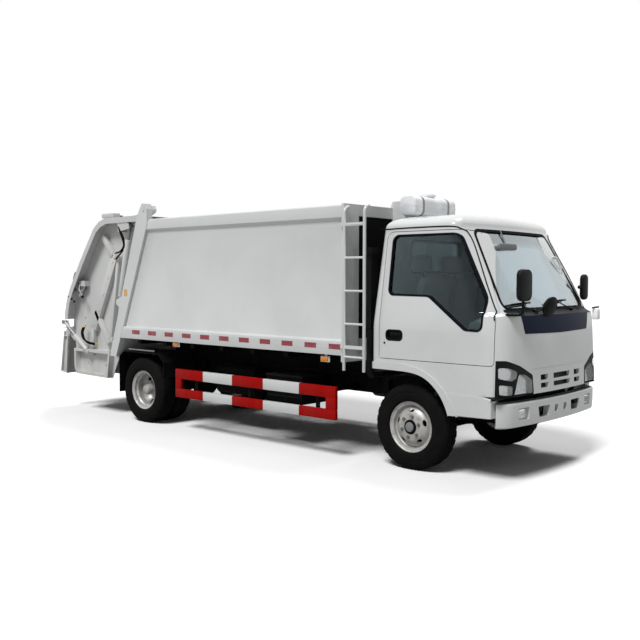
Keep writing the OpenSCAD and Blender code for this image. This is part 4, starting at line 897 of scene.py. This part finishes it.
def wheels():
    for side, name in ((RIGHT, "right"), (LEFT, "left")):
        out = (0, side, 0)
        y = side * FRONT_Y
        body = f"front_wheel_{name}"
        made = rim(FRONT, y, side, FRONT_DISC, 5)
        made.name = f"front_rim_{name}_dish"
        settle(made, "wheel_silver", body, 30, [f"front_rim_{name}"])
        tyre(Shape(), FRONT, y).piece(f"front_tyre_{name}_tread", "tyre", body, 38, [f"front_tyre_{name}"])
        Shape().bolts(ring_places(FRONT, y + side * 0.087, 0.094, 6), out, 0.012, 0.020).piece(
            f"front_nuts_{name}", "steel", body)
        hub = [(-0.02, 0.064), (0.092, 0.064), (0.096, 0.058), (0.099, 0.046)]
        Shape().lathe(hub, (FRONT, y, AXLE_Z), out, 40).piece(f"front_hub_{name}", "black", body)
        cap = [(0.098, 0.044), (0.106, 0.041), (0.109, 0.030), (0.110, 0.010)]
        Shape().lathe(cap, (FRONT, y, AXLE_Z), out, 40).piece(f"front_hub_cap_{name}", "grey_plastic", body)

        outer, inner = side * REAR_Y, side * (REAR_Y - TWIN)
        body = f"rear_wheels_{name}"
        pair = rim(REAR, outer, side, OUTER_DISC, 6)
        joined(pair, rim(REAR, inner, side, INNER_DISC, 6), "UNION")
        pair.name = f"rear_rims_{name}_dish"
        settle(pair, "wheel_silver", body, 30, [f"rear_rims_{name}"])
        tyre(tyre(Shape(), REAR, outer), REAR, inner).piece(f"rear_tyres_{name}_tread", "tyre", body, 38,
                                                            [f"rear_tyres_{name}"])
        Shape().bolts(ring_places(REAR, outer - side * 0.111, 0.100, 6), out, 0.013, 0.030).piece(
            f"rear_nuts_{name}", "steel", body)
        hub = [(-0.116, 0.078), (-0.060, 0.076), (-0.052, 0.068), (0.040, 0.060), (0.054, 0.054),
               (0.062, 0.040), (0.066, 0.012)]
        Shape().lathe(hub, (REAR, outer, AXLE_Z), out, 40).piece(f"rear_hub_{name}", "wheel_silver", body)
        Shape().bolts(ring_places(REAR, outer + side * 0.052, 0.047, 8), out, 0.006, 0.006).piece(
            f"rear_hub_bolts_{name}", "steel", body)
        valve = Shape().tube([(REAR + 0.17, outer - side * 0.075, AXLE_Z), (REAR + 0.178, outer - side * 0.04,
                             AXLE_Z), (REAR + 0.18, outer, AXLE_Z)], 0.004, 8)
        valve.rod((REAR + 0.18, outer, AXLE_Z), (REAR + 0.18, outer + side * 0.014, AXLE_Z), 0.006, sides=12)
        valve.piece(f"tyre_valve_{name}", "black_plastic", body)


wheels()


# ---- Container ----
BOX_REAR_GAP = 0.0004


def slanted(section):
    """A (y, z) section drawn from the rear posts to the container's front."""
    return Shape().loft([[(post_front(z) + BOX_REAR_GAP, y, z) for y, z in section],
                         [(BOX_FRONT, y, z) for y, z in section]], edge=0.0025)


def container():
    wall = [(1.024, SILL_Z), (1.024, SILL_Z + 0.128), (1.017, SILL_Z + 0.140), (0.992, SILL_Z + 0.146),
            (0.992, 2.236), (1.021, 2.266), (1.021, 2.370), (1.010, 2.382), (0.984, 2.382), (0.984, SILL_Z)]
    roof = [(-0.985, 2.366), (-0.985, 2.380), (-0.960, 2.388), (0.960, 2.388), (0.985, 2.380), (0.985, 2.366)]
    floor = [(-0.984, 1.002), (-0.984, 1.010), (0.984, 1.010), (0.984, 1.002)]
    skin = slanted(wall)
    skin.both()
    for section in (roof, floor):
        skin.loft([[(post_front(z) + BOX_REAR_GAP, y, z) for y, z in section],
                   [(BOX_FRONT, y, z) for y, z in section]])
    skin.piece("container_skin", "body_white", "chassis", replaces=["container_shell"])
    under = Shape()
    for i in range(7):
        under.box((BOX_FRONT - 0.300 - 0.48 * i, -0.984, 0.932),
                  (BOX_FRONT - 0.240 - 0.48 * i, 0.984, 1.0015), 0)
    for side in (RIGHT, LEFT):
        y0, y1 = sorted((side * 0.310, side * 0.375))
        under.box((BOX_FRONT - 3.25, y0, 0.7605), (BOX_FRONT, y1, 0.9315), 0.003)
        plate0, plate1 = sorted((side * 0.376, side * 0.386))
        for x in (-1.2, -0.2, 0.8, 1.5):
            under.box((x, plate0, 0.66), (x + 0.12, plate1, 0.86))
    under.piece("container_subframe", "black", "chassis")
    # Painted shade: a thin black sheet on the container front stands in for the dark, shaded inside of its
    # open frame.
    recess = Shape().box((BOX_FRONT + 0.0205, 0.292, 1.14), (BOX_FRONT + 0.0225, 0.808, 2.284), 0)
    recess.both().piece("front_recess_painted_shade", "black", "chassis")


def safety_tape():
    start, pitch, length, z0, z1, face = -1.580, 0.3096, 0.150, 1.045, 1.094, 1.0242
    red, silver = Shape(), Shape()
    for i in range(11):
        x = start + pitch * i
        red.box((x, face, z0), (min(x + length, BOX_FRONT - 0.002), face + 0.0008, z1), 0)
        if i < 10:
            silver.box((x + length + 0.0005, face, z0), (x + pitch - 0.0005, face + 0.0008, z1), 0)
    silver.box((start - 0.15, face, z0), (start - 0.0005, face + 0.0008, z1), 0)
    red.both().piece("tape_blocks_red", "tape_red", "chassis")
    silver.both().piece("tape_blocks_silver", "tape_silver", "chassis")


def side_markers():
    base, glow = Shape(), Shape()
    for x, z in ((1.446, 0.943), (-0.789, 0.963)):
        base.box((x - 0.055, 0.985, z - 0.028), (x + 0.055, 0.998, z + 0.028), 0.004)
        base.box((x - 0.012, 0.975, z + 0.02), (x + 0.012, 0.985, SILL_Z + 0.01), 0.002)
        glow.box((x - 0.047, 0.998, z - 0.021), (x + 0.047, 1.014, z + 0.021), 0.008)
    base.both().piece("side_marker_bases", "white_plastic", "chassis")
    glow.both().piece("side_marker_lenses", "amber_lens", "chassis")
    x = post_rear(1.53) + 0.07
    tag = Shape().plate(box_outline(x - 0.030, 1.490, x + 0.030, 1.570, 0.004), "y", 1.0262, 1.0275)
    tag.both().piece("post_reflectors", "amber_tape", "chassis")


def side_guards():
    x0, x1, z0, z1 = low("side_guards").x, high("side_guards").x, low("side_guards").z, high("side_guards").z
    gap0, gap1, post0, post1 = 0.468, 0.580, x0 + 0.096, x1 - 0.125
    breaks = [x0, -0.329, 0.139, 0.605, 1.107, x1]
    shapes = {"red": Shape(), "guard_white": Shape()}
    for i, (a, b) in enumerate(zip(breaks, breaks[1:])):
        shape = shapes["guard_white" if i % 2 else "red"]
        shape.box((a, 0.966, z0), (b, 1.000, gap0), 0.003)
        shape.box((a, 0.966, gap1), (b, 1.000, z1), 0.003)
    shapes["red"].box((x0, 0.966, gap0 - 0.004), (post0, 0.9995, gap1 + 0.004), 0.002)
    shapes["red"].box((post1, 0.966, gap0 - 0.004), (x1, 0.9995, gap1 + 0.004), 0.002)
    shapes["red"].both().piece("side_guards_red", "red", "chassis", replaces=["side_guards"])
    shapes["guard_white"].both().piece("side_guards_white", "guard_white", "chassis")
    arms = Shape()
    for x in (-0.50, 0.35, 1.30):
        arms.box((x, 0.376, 0.600), (x + 0.05, 0.9655, 0.650), 0.004)
        arms.box((x, 0.955, 0.40), (x + 0.05, 0.9655, 0.66), 0.002)
    arms.both().piece("side_guard_arms", "black", "chassis")


def water_tank():
    x0, x1, z0, z1, y0, y1 = 1.877, 2.063, 2.302, 2.488, low("water_tank").y, high("water_tank").y
    section = box_outline(x0, z0, x1, z1, 0.055)
    drum = Shape().plate(section, "y", y0, y1, 0.018)
    drum.box((x0 - 0.002, y0, 2.390), (x1 + 0.002, y1, 2.399)).piece(
        "water_tank_drum", "white_plastic", "chassis", replaces=["water_tank"])
    lid = Shape().lathe([(-0.01, 0.058), (0.012, 0.058), (0.012, 0.068), (0.030, 0.066), (0.032, 0.050),
                         (0.032, 0.012)], (1.97, -0.075, z1), (0, 0, 1), 36)
    for k in range(12):
        angle = math.pi * k / 6
        spot = Vector((1.97 + 0.068 * math.cos(angle), -0.075 + 0.068 * math.sin(angle), z1 + 0.014))
        lid.rod(spot, spot + Vector((0, 0, 0.014)), 0.004, sides=8)
    lid.piece("water_tank_lid", "white_plastic", "chassis")
    straps = Shape()
    for y in (-0.30, 0.12):
        ring = grown(section, 0.0025)
        straps.loft([[(a, y, b) for a, b in ring], [(a, y + 0.03, b) for a, b in ring],
                     [(a, y + 0.03, b) for a, b in grown(section, -0.002)],
                     [(a, y, b) for a, b in grown(section, -0.002)]], True)
        straps.box((BOX_FRONT + 0.186, y, 2.325), (x0 + 0.01, y + 0.03, 2.360), 0.003)
    straps.piece("water_tank_straps", "steel", "chassis")


def chassis_details():
    bands = Shape()
    for x in (0.30, 0.68):
        outline = rounded([(0.476, 0.426, 0.03), (0.864, 0.426, 0.03),
                           (0.864, 0.744, 0.03), (0.476, 0.744, 0.03)])
        hole = rounded([(0.479, 0.429, 0.03), (0.861, 0.429, 0.03),
                        (0.861, 0.741, 0.03), (0.479, 0.741, 0.03)])
        bands.loft([[(x, a, b) for a, b in outline], [(x + 0.04, a, b) for a, b in outline],
                    [(x + 0.04, a, b) for a, b in hole], [(x, a, b) for a, b in hole]], True)
    bands.piece("fuel_tank_straps", "steel", "chassis")
    cap = Shape().lathe([(0, 0.040), (0.020, 0.040), (0.026, 0.034), (0.026, 0.006)],
                        (0.56, 0.855, 0.66), (0, 1, 0.2))
    cap.piece("fuel_cap", "black_plastic", "chassis")
    cover = Shape().box((0.492, -0.848, 0.700), (1.008, -0.472, 0.728), 0.008)
    for z in (0.50, 0.56, 0.62):
        cover.box((0.52, -0.846, z), (0.98, -0.838, z + 0.018), 0.003)
    cover.piece("battery_cover", "black_plastic", "chassis")
    trim = Shape().box((-1.70, -0.992, 0.852), (-1.20, -0.982, 0.868), 0.003)
    trim.both().piece("mudguard_trim", "grey_plastic", "chassis")
    lines = Shape()
    for k, y in enumerate((0.395, 0.408, 0.421)):
        lines.tube(smoothed([(-0.9, y, 0.70 + 0.01 * k), (0.0, y, 0.715), (0.6, y, 0.70 + 0.012 * k),
                             (1.5, y, 0.72)], 8), 0.005, 8)
    lines.both().piece("brake_lines", "hose", "chassis")


container()
safety_tape()
side_markers()
side_guards()
water_tank()
chassis_details()


# ---- Cab fittings ----
def slab(shape, y0, z0, y1, z1, x0, x1, radius):
    """A mirror head's shell: a rounded slab facing along X."""
    return shape.plate(box_outline(y0, z0, y1, z1, radius), "x", x0, x1, edge=0.017)


def mirrors():
    hi = high("mirror_right")
    x1 = hi.x
    x0 = x1 - 0.044
    right = slab(Shape(), -0.860, 1.520, -0.650, hi.z, x0, x1, 0.060)
    right.rod((x0 + 0.014, -0.755, 1.424), (x0 + 0.014, -0.755, 1.530), 0.011)
    right.tube(smoothed([(x0 + 0.014, -0.755, 1.430), (x0 - 0.01, -0.752, 1.412), (x0 - 0.05, -0.735, 1.408),
                         (x0 - 0.10, -0.690, 1.412)], 5), 0.011, 10)
    right.box((x0 - 0.125, -0.800, 1.398), (x0 - 0.030, -0.640, 1.417), 0.007)
    right.piece("mirror_right_head", "black_plastic", "cab", replaces=["mirror_right"])
    slab(Shape(), -0.846, 1.536, -0.664, hi.z - 0.016, x0 - 0.002, x0 + 0.004, 0.05).piece(
        "mirror_right_glass", "mirror", "cab")

    x0, x1, y1 = low("mirror_left").x, high("mirror_left").x, high("mirror_left").y
    y0 = y1 - 0.120
    left = slab(Shape(), y0, 1.500, y1, 1.750, x0, x1, 0.050)
    left.rod((x0 + 0.016, y0 - 0.035, 1.625), (x0 + 0.016, y0 + 0.03, 1.625), 0.011)
    left.ball((x0 + 0.016, y0 - 0.030, 1.625), 0.018)
    left.piece("mirror_left_head", "black_plastic", "left_door", replaces=["mirror_left"])
    slab(Shape(), y0 + 0.012, 1.514, y1 - 0.012, 1.736, x0 - 0.002, x0 + 0.004, 0.04).piece(
        "mirror_left_glass", "mirror", "left_door")

    spot = Vector((3.345, -0.237, 1.468))
    facing = Vector((0.75, -0.10, -0.25)).normalized()
    bowl = [(-0.035, 0.020), (-0.030, 0.050), (-0.012, 0.078), (0.006, 0.090), (0.016, 0.090), (0.016, 0.083)]
    over = Shape().lathe(bowl, spot, facing, 40)
    for foot in ((3.275, -0.36, 1.412), (3.285, -0.10, 1.412)):
        over.tube([foot, Vector(foot) + Vector((0.03, 0, 0.015)), spot - facing * 0.02], 0.007, 8)
        over.box(Vector(foot) - Vector((0.02, 0.025, 0.012)),
                 Vector(foot) + Vector((0.02, 0.025, 0.006)), 0.004)
    over.piece("kerb_mirror", "black_plastic", "cab")
    # Painted reflection: the convex glass is given black plastic in place of mirror glass, standing in for a
    # dark reflection.
    Shape().ball(spot + facing * 0.012, 0.082, 0.22, facing, 32).piece(
        "kerb_mirror_painted_reflection", "black_plastic", "cab")


def wipers():
    arms, spine = Shape(), Vector((0.006, 0, 0.006))
    for pivot, tip, ends in ((-0.33, (-0.56, 1.486), ((-0.72, 1.478), (-0.34, 1.500))),
                             (0.36, (0.12, 1.500), ((-0.06, 1.494), (0.34, 1.512)))):
        base = skin_point("front", pivot, 1.432, 0.018)
        arms.ball(base, 0.020, 0.8)
        arms.tube([base, skin_point("front", tip[0], tip[1], 0.026)], 0.006, 8)
        a, b = (skin_point("front", y, z, 0.014) for y, z in ends)
        arms.bar(a, b, 0.016, 0.010, 0.002, (0.6, 0, 0.8))
        arms.bar(a.lerp(b, 0.2) + spine, a.lerp(b, 0.8) + spine, 0.008, 0.012, 0.002, (0.6, 0, 0.8))
    for y in (-0.55, 0.0, 0.55):
        spot = skin_point("front", y, 1.425, 0.006)
        arms.box(spot - Vector((0.012, 0.016, 0.004)), spot + Vector((0.010, 0.016, 0.006)), 0.003)
    arms.piece("wipers", "black_plastic", "cab")


def cab_inside():
    pad = rounded([(3.36, 1.372, 0.0), (3.10, 1.385, 0.05), (2.94, 1.335, 0.05), (2.902, 1.20, 0.05),
                   (2.98, 1.042, 0.03), (3.36, 1.042, 0.0)])
    made = joined(form(-0.042), Shape().plate(pad, "y", -0.86, 0.86).raw("pad"), "INTERSECT")
    made.name = "dashboard_pad"
    settle(made, "trim", "cab", 30, ["dashboard"])
    console = Shape()
    console.box((2.925, -0.30, 1.06), (2.975, 0.02, 1.30), 0.012)
    console.tube([(2.955, -0.48, 1.10), (2.915, -0.48, 1.155), (2.900, -0.48, 1.176)], 0.032, 20)
    hood = rounded([(2.905, 1.315, 0.01), (3.05, 1.392, 0.03), (3.05, 1.36, 0.0), (2.93, 1.30, 0.01)])
    console.plate(hood, "y", -0.66, -0.30, 0.008)
    for y in (-0.78, 0.10, 0.62):
        console.box((2.915, y, 1.235), (2.945, y + 0.13, 1.285), 0.006)
    console.piece("dashboard_fittings", "black_plastic", "cab")

    lining = joined(form(-0.034), Shape().box((1.90, -1.0, 0.99), (3.30, 1.0, 2.40), 0).raw("room"),
                    "INTERSECT")
    less(lining, form(-0.042), prism(grown(SCREEN, 0.01), "front"), prism(grown(REAR_WINDOW, 0.01), "back"),
         prism(grown(DOOR, 0.02), "right"), prism(grown(DOOR, 0.02), "left"))
    lining.name = "cab_lining"
    settle(lining, "trim", "cab", 30)

    centre = Vector((2.820, -0.480, 1.290))
    lean = math.radians(-35)
    axis = Vector((math.sin(lean), 0, math.cos(lean)))
    across, up = Vector((0, 1, 0)), axis.cross(Vector((0, 1, 0)))
    wheel = Shape().tube([centre + 0.203 * (math.cos(a) * across + math.sin(a) * up)
                          for a in (2 * math.pi * k / 48 for k in range(48))], 0.0135, 12, True)
    for angle in (-0.25, math.pi + 0.25, math.pi / 2):
        out = math.cos(angle) * across + math.sin(angle) * up
        wheel.tube(smoothed([centre - axis * 0.018, centre + out * 0.10 - axis * 0.012,
                             centre + out * 0.195], 5),
                   0.010, 8)
    wheel.lathe([(-0.028, 0.030), (-0.024, 0.055), (0.004, 0.060), (0.014, 0.048), (0.016, 0.006)],
                centre, axis)
    wheel.rod(centre - axis * 0.115, centre - axis * 0.02, 0.016)
    wheel.piece("steering_wheel_rim", "grey_plastic", "steering", replaces=["steering_wheel"])

    fittings = Shape().plate(box_outline(-0.41, 1.955, -0.10, 2.015, 0.025), "x", 2.93, 2.955, 0.008)
    fittings.tube([(2.925, -0.255, 2.01), (2.90, -0.255, 2.06), (2.87, -0.255, 2.13)], 0.007, 8)
    fittings.piece("inside_mirror", "grey_plastic", "cab")
    grab = smoothed([(2.985, 0.615, 1.90), (2.945, 0.585, 1.90), (2.940, 0.560, 1.84), (2.970, 0.580, 1.76),
                     (3.020, 0.615, 1.75), (3.015, 0.635, 1.82)], 5, True)
    Shape().tube(grab, 0.011, 10, True).piece("grab_handle", "trim", "cab")
    visors = Shape().plate(box_outline(2.70, -0.58, 2.86, -0.06, 0.03), "z", 2.085, 2.100, 0.005)
    visors.plate(box_outline(2.70, 0.06, 2.86, 0.58, 0.03), "z", 2.085, 2.100, 0.005)
    visors.piece("sun_visors", "trim", "cab")

    corner = Shape().box((3.217, 0.895, 1.312), (3.275, 0.965, 1.418), 0.012)
    corner.piece("left_corner_box", "white_plastic", "cab")
    arm = Shape().tube([(3.235, 0.870, 1.426), (3.238, 0.93, 1.431), (3.240, 1.000, 1.432)], 0.009, 8)
    arm.piece("left_corner_arm", "black_plastic", "cab")


def cushion(shape, start, end, crown, channels, squeeze=0.035):
    """A crowned closed pad between two corners, its sides drawn in, with sewn channels across its top."""
    x0, y0, z0 = start
    x1, y1, z1 = end
    half_y, half_z, mid_y, mid_z = (y1 - y0) / 2, (z1 - z0) / 2, (y0 + y1) / 2, (z0 + z1) / 2
    rings = []
    for i in range(29):
        u = min(0.9985, max(0.0015, i / 28)) * 2 - 1
        end_size = (1 - abs(u) ** 7) ** (1 / 3)
        waist = 1 - squeeze * (1 - u * u)
        ring = []
        for k in range(56):
            angle = 2 * math.pi * k / 56
            c, s = math.cos(angle), math.sin(angle)
            y = math.copysign(abs(c) ** 0.45, c) * end_size * waist
            z = math.copysign(abs(s) ** 0.45, s) * end_size
            rise = crown * (1 - u * u) * (1 - y * y) if s > 0 else 0.0
            for line in channels:
                if s > 0:
                    rise -= 0.006 * math.exp(-((y - line) / 0.04) ** 2)
            ring.append((x0 + (x1 - x0) * (u + 1) / 2, mid_y + half_y * y, mid_z + half_z * z + rise))
        rings.append(ring)
    return shape.loft(rings)


def tipped(shape, foot, angle):
    """Turns the shape about a line along Y through foot (x, z)."""
    c, s = math.cos(angle), math.sin(angle)
    for vert in shape.bm.verts:
        x, z = vert.co.x - foot[0], vert.co.z - foot[1]
        vert.co.x, vert.co.z = foot[0] + x * c + z * s, foot[1] - x * s + z * c
    return shape


def seats():
    bases, recline = Shape(), math.radians(-81)
    for i, (y, half) in enumerate(((-0.480, 0.240), (0.060, 0.200), (0.500, 0.240))):
        name = ("driver", "middle", "passenger")[i]
        seat = cushion(Shape(), (2.142, y - half + 0.004, 1.082), (2.606, y + half - 0.004, 1.196), 0.012,
                       (-0.45, 0.45))
        made = seat.piece(f"seat_cushion_{name}", "cloth", "cab", 40, ["seats"] if i == 0 else ())
        back = cushion(Shape(), (0.0, y - half + 0.012, -0.045), (0.53, y + half - 0.012, 0.045), 0.010,
                       (-0.42, 0.42))
        tipped(back, (0.0, 0.0), recline)
        for vert in back.bm.verts:
            vert.co += Vector((2.252, 0, 1.205))
        made = back.piece(f"seat_back_{name}", "cloth", "cab", 40)
        rest = cushion(Shape(), (0.0, y - 0.128, -0.036), (0.155, y + 0.128, 0.036), 0.004, ())
        tipped(rest, (0.0, 0.0), recline)
        for vert in rest.bm.verts:
            vert.co += Vector((2.158, 0, 1.763))
        rest.piece(f"headrest_{name}", "cloth", "cab", 40)
        for side in (-1, 1):
            bases.rod((2.166, y + side * 0.06, 1.70), (2.150, y + side * 0.06, 1.79), 0.006, sides=12)
        bases.box((2.160, y - half + 0.045, 0.9555), (2.545, y + half - 0.045, 1.084), 0.01)
    bases.piece("seat_bases", "black_plastic", "cab")


mirrors()
wipers()
cab_inside()
seats()


# ---- Tailgate ----
def tailgate_sides():
    """Bars, ribs and frames on the outside of both hopper plates."""
    face, out = 0.873, 0.930
    mid, deep = (face + out) / 2, out - face
    bars = Shape()
    ribs = (((-2.317, 2.223), (-2.109, 1.961), 0.070), ((-2.085, 1.950), (-2.547, 1.064), 0.125),
            ((-2.496, 1.292), (-2.221, 0.891), 0.060), ((-1.995, 1.955), (-2.165, 0.980), 0.050),
            ((-2.120, 1.975), (-1.985, 1.945), 0.050), ((-2.558, 1.060), (-2.558, 0.815), 0.050))
    for (x0, z0), (x1, z1), width in ribs:
        bars.bar((x0, mid, z0), (x1, mid, z1), width, deep, 0.006)
    bars.box((-2.622, face, 0.760), (-2.203, out + 0.010, 0.812), 0.005)
    for (x, z) in ((-2.30, 2.20), (-2.13, 1.99), (-2.48, 1.27), (-2.24, 0.915)):
        bars.plate([(x - 0.05, z - 0.05), (x + 0.05, z - 0.05), (x + 0.05, z + 0.05), (x - 0.05, z + 0.05)],
                   "y", face, face + 0.008)
    bars.box((-2.235, 0.895, 2.4375), (-1.985, 0.992, 2.490), 0.006)
    bars.both().piece("tailgate_braces", "gate_white", "tailgate")
    outline = [(-2.955, 0.560), (-2.905, 0.475), (-2.215, 0.464), (-2.160, 0.800), (-2.960, 0.800)]
    frame_low = less(Shape().plate(outline, "y", face, 0.945).raw("lower"),
                     Shape().plate(grown(outline, -0.035), "y", 0.8, 1.0).raw("hole"))
    frame_low.name = "tailgate_lower_frame_left"
    other = frame_low.copy()
    other.data = frame_low.data.copy()
    for vert in other.data.vertices:
        vert.co.y = -vert.co.y
    other.data.flip_normals()
    other.name = "tailgate_lower_frame_right"
    settle(frame_low, "gate_white", "tailgate")
    settle(other, "gate_white", "tailgate")
    bolts = Shape()
    bolts.bolts([(x, out, z) for x, z in ((-2.10, 1.90), (-2.20, 1.71), (-2.31, 1.50),
                                          (-2.41, 1.30), (-2.51, 1.12))],
                (0, 1, 0), 0.009, 0.008)
    bolts.bolts([(x, 0.873, z) for x, z in ((-2.72, 1.78), (-2.80, 1.20), (-2.66, 0.95),
                                            (-2.35, 0.62), (-2.75, 0.62))],
                (0, 1, 0), 0.010, 0.010)
    bolts.both().piece("tailgate_bolts", "gate_white", "tailgate")


def hydraulics():
    upper, lower = Shape(), Shape()
    for k in (0, 1):
        upper.tube(smoothed([(-1.891, -0.985, 2.335), (-1.862 + 0.02 * k, -0.990, 2.270),
                             (-1.783 + 0.03 * k, -0.990, 2.110),
                             (-1.850 + 0.035 * k, -0.985, 2.030), (-2.000, -0.950, 2.007 - 0.07 * k)], 8),
                   0.0095, 10)
        lower.tube(smoothed([(-2.729 + 0.03 * k, -0.950, 1.085), (-2.735 + 0.035 * k, -0.975, 1.010),
                             (-2.690 + 0.03 * k, -0.980, 0.935), (-2.590, -0.980, 0.900 - 0.012 * k),
                             (-2.441, -0.960, 0.880 - 0.014 * k)], 8), 0.0095, 10)
    upper.piece("upper_hoses", "hose", "tailgate")
    lower.piece("lower_hoses", "hose", "tailgate")
    ends = Shape()
    ends.rod((-1.891, -0.985, 2.330), (-1.897, -0.985, 2.372), 0.014, sides=6)
    ends.box((-1.925, -1.000, 2.368), (-1.868, -0.965, 2.400), 0.004)
    for z in (2.007, 1.937):
        ends.rod((-2.030, -0.945, z), (-1.995, -0.952, z), 0.012, sides=6)
    for x in (-2.729, -2.699):
        ends.rod((x, -0.945, 1.108), (x, -0.951, 1.078), 0.012, sides=6)
    for z in (0.880, 0.866):
        ends.rod((-2.445, -0.960, z), (-2.418, -0.955, z), 0.011, sides=6)
    ends.piece("hose_fittings", "brass", "tailgate")

    block = Shape().box((-2.860, -0.945, 1.560), (-2.760, -0.874, 1.650), 0.006)
    bracket = smoothed([(-2.905, -0.940, 1.780), (-2.935, -0.950, 1.700), (-2.930, -0.955, 1.600),
                        (-2.880, -0.950, 1.545),
                        (-2.820, -0.940, 1.540)], 6)
    block.tube(bracket, 0.013, 10)
    block.piece("control_valve", "grey_plastic", "tailgate")
    rods, knobs = Shape(), Shape()
    for k in range(3):
        start = Vector((-2.850 + 0.024 * k, -0.945, 1.575))
        end = Vector((-2.985 + 0.060 * k, -0.995, 1.465 - 0.03 * k))
        rods.tube([start, end], 0.005, 8)
        knobs.ball(end, 0.015)
    rods.tube([(-2.800, -0.945, 1.640), (-2.780, -0.975, 1.560), (-2.690, -0.985, 1.475)], 0.011, 10)
    knobs.ball((-2.684, -0.986, 1.468), 0.019)
    rods.piece("lever_rods", "steel", "tailgate")
    knobs.piece("lever_knobs", "black_plastic", "tailgate")

    lamps, glow = Shape(), Shape()
    for side in (RIGHT, LEFT):
        y0, y1 = sorted((side * 0.700, side * 0.850))
        lamps.box((-2.236, y0, 2.4375), (-2.205, y1, 2.486), 0.004)
        glow.box((-2.243, y0 + 0.01, 2.445), (-2.236, y1 - 0.01, 2.480), 0.003)
    lamps.piece("rear_lamp_boxes", "black_plastic", "tailgate")
    glow.piece("rear_lamp_lenses", "red_lens", "tailgate")


def lifter_frame():
    """Side boxes and a hooked top beam on the bin lifter, behind its pin at (x, z)."""
    x, z = -3.130, 1.000
    cheek = [(x - 0.054, z + 0.042), (x - 0.118, z + 0.044), (x - 0.150, z + 0.010), (x - 0.236, z - 0.536),
             (x - 0.110, z - 0.550), (x - 0.085, z - 0.380), (x - 0.060, z - 0.060)]
    frame_shape = Shape().plate(cheek, "y", 0.862, 0.868, 0.002)
    frame_shape.bar((x - 0.066, 0.882, z - 0.050), (x - 0.102, 0.882, z - 0.545), 0.012, 0.030, 0.003)
    frame_shape.bar((x - 0.145, 0.882, z + 0.004), (x - 0.230, 0.882, z - 0.530), 0.012, 0.030, 0.003)
    frame_shape.bar((x - 0.105, 0.882, z - 0.544), (x - 0.232, 0.882, z - 0.530), 0.012, 0.030, 0.003)
    frame_shape.bar((x - 0.070, 0.882, z - 0.060), (x - 0.155, 0.882, z - 0.060), 0.012, 0.030, 0.003)
    frame_shape.both()
    frame_shape.box((x - 0.225, -0.868, z + 0.046), (x - 0.100, 0.868, z + 0.058), 0.003)
    frame_shape.piece("bin_lifter_frame", "gate_white", "lifter")


tailgate_sides()
hydraulics()
lifter_frame()


# ---- CAD pieces that stay, with their finishes ----
KEPT = {
    "black": ["frame_rails", "front_axle", "rear_axle", "driveshaft", "fuel_tank", "battery_box", "air_tanks",
              "knuckle_left", "knuckle_right"],
    "black_plastic": ["rear_mudguards", "intake_snorkel"],
    "cast": ["engine"], "steel": ["silencer", "hopper_bowl"],
    "body_white": ["container_front", "rear_posts", "ladder", "lift_barrels"],
    "gate_white": ["ejector_plate", "tailgate_sides", "tailgate_hood", "packer_barrels", "packer_plate",
                   "sweep_blade", "sweep_barrels", "bin_lifter", "lifter_barrels", "control_levers"],
    "chrome": ["lift_rods", "packer_rods", "sweep_rods", "lifter_rods"],
    "trim": ["cab_floor"],
}


def finish_kept():
    for finish, nodes in KEPT.items():
        for node in nodes:
            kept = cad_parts[node]
            for place in kept.material_slots:
                place.material = FINISH[finish][0]
            kept.modifiers.new("weld", "WELD").merge_threshold = 0.00001
            edge = kept.modifiers.new("edges", "BEVEL")
            edge.width, edge.segments, edge.angle_limit = 0.0025, 2, math.radians(40)


finish_kept()


# ---- Floor and light ----
def studio():
    floor = Shape().box((-60, -60, -0.02), (60, 60, 0.0), 0).raw("floor")
    paint = Paint("floor")
    seen = paint.node("ShaderNodeLightPath", out="Is Camera Ray")
    dim = paint.node("ShaderNodeBsdfDiffuse", None, {"Color": rgb(0.42, 0.42, 0.42)})
    pale = paint.node("ShaderNodeBsdfDiffuse", None, {"Color": rgb(0.97, 0.97, 0.97)})
    mixed = paint.node("ShaderNodeMixShader", None, {0: seen, 1: dim, 2: pale})
    paint.tree.links.new(mixed.socket, paint.out.inputs[0])
    floor.data.materials.append(paint.material)
    world = bpy.data.worlds.new("studio")
    bpy.context.scene.world = world
    world.use_nodes = True
    tree = world.node_tree
    back = tree.nodes["Background"]
    path = tree.nodes.new("ShaderNodeLightPath")
    back.inputs[0].default_value = rgb(1, 1, 1)
    strength = tree.nodes.new("ShaderNodeMapRange")
    tree.links.new(path.outputs["Is Diffuse Ray"], strength.inputs[0])
    strength.inputs[3].default_value, strength.inputs[4].default_value = 1.0, 0.14
    tree.links.new(strength.outputs[0], back.inputs[1])
    for name, aim, power in (("key", (-0.10, 0.54, -0.83), 2.9), ("top", (0.03, -0.42, -0.91), 1.6)):
        lamp = bpy.data.objects.new(name, bpy.data.lights.new(name, "SUN"))
        lamp.data.energy, lamp.data.angle = power, math.radians(20)
        lamp.rotation_mode = "QUATERNION"
        lamp.rotation_quaternion = Vector(aim).to_track_quat("-Z", "Y")
        bpy.context.scene.collection.objects.link(lamp)
    bpy.context.scene.view_settings.view_transform = "Standard"


studio()

for made in FORMS.values():
    bpy.data.objects.remove(made)
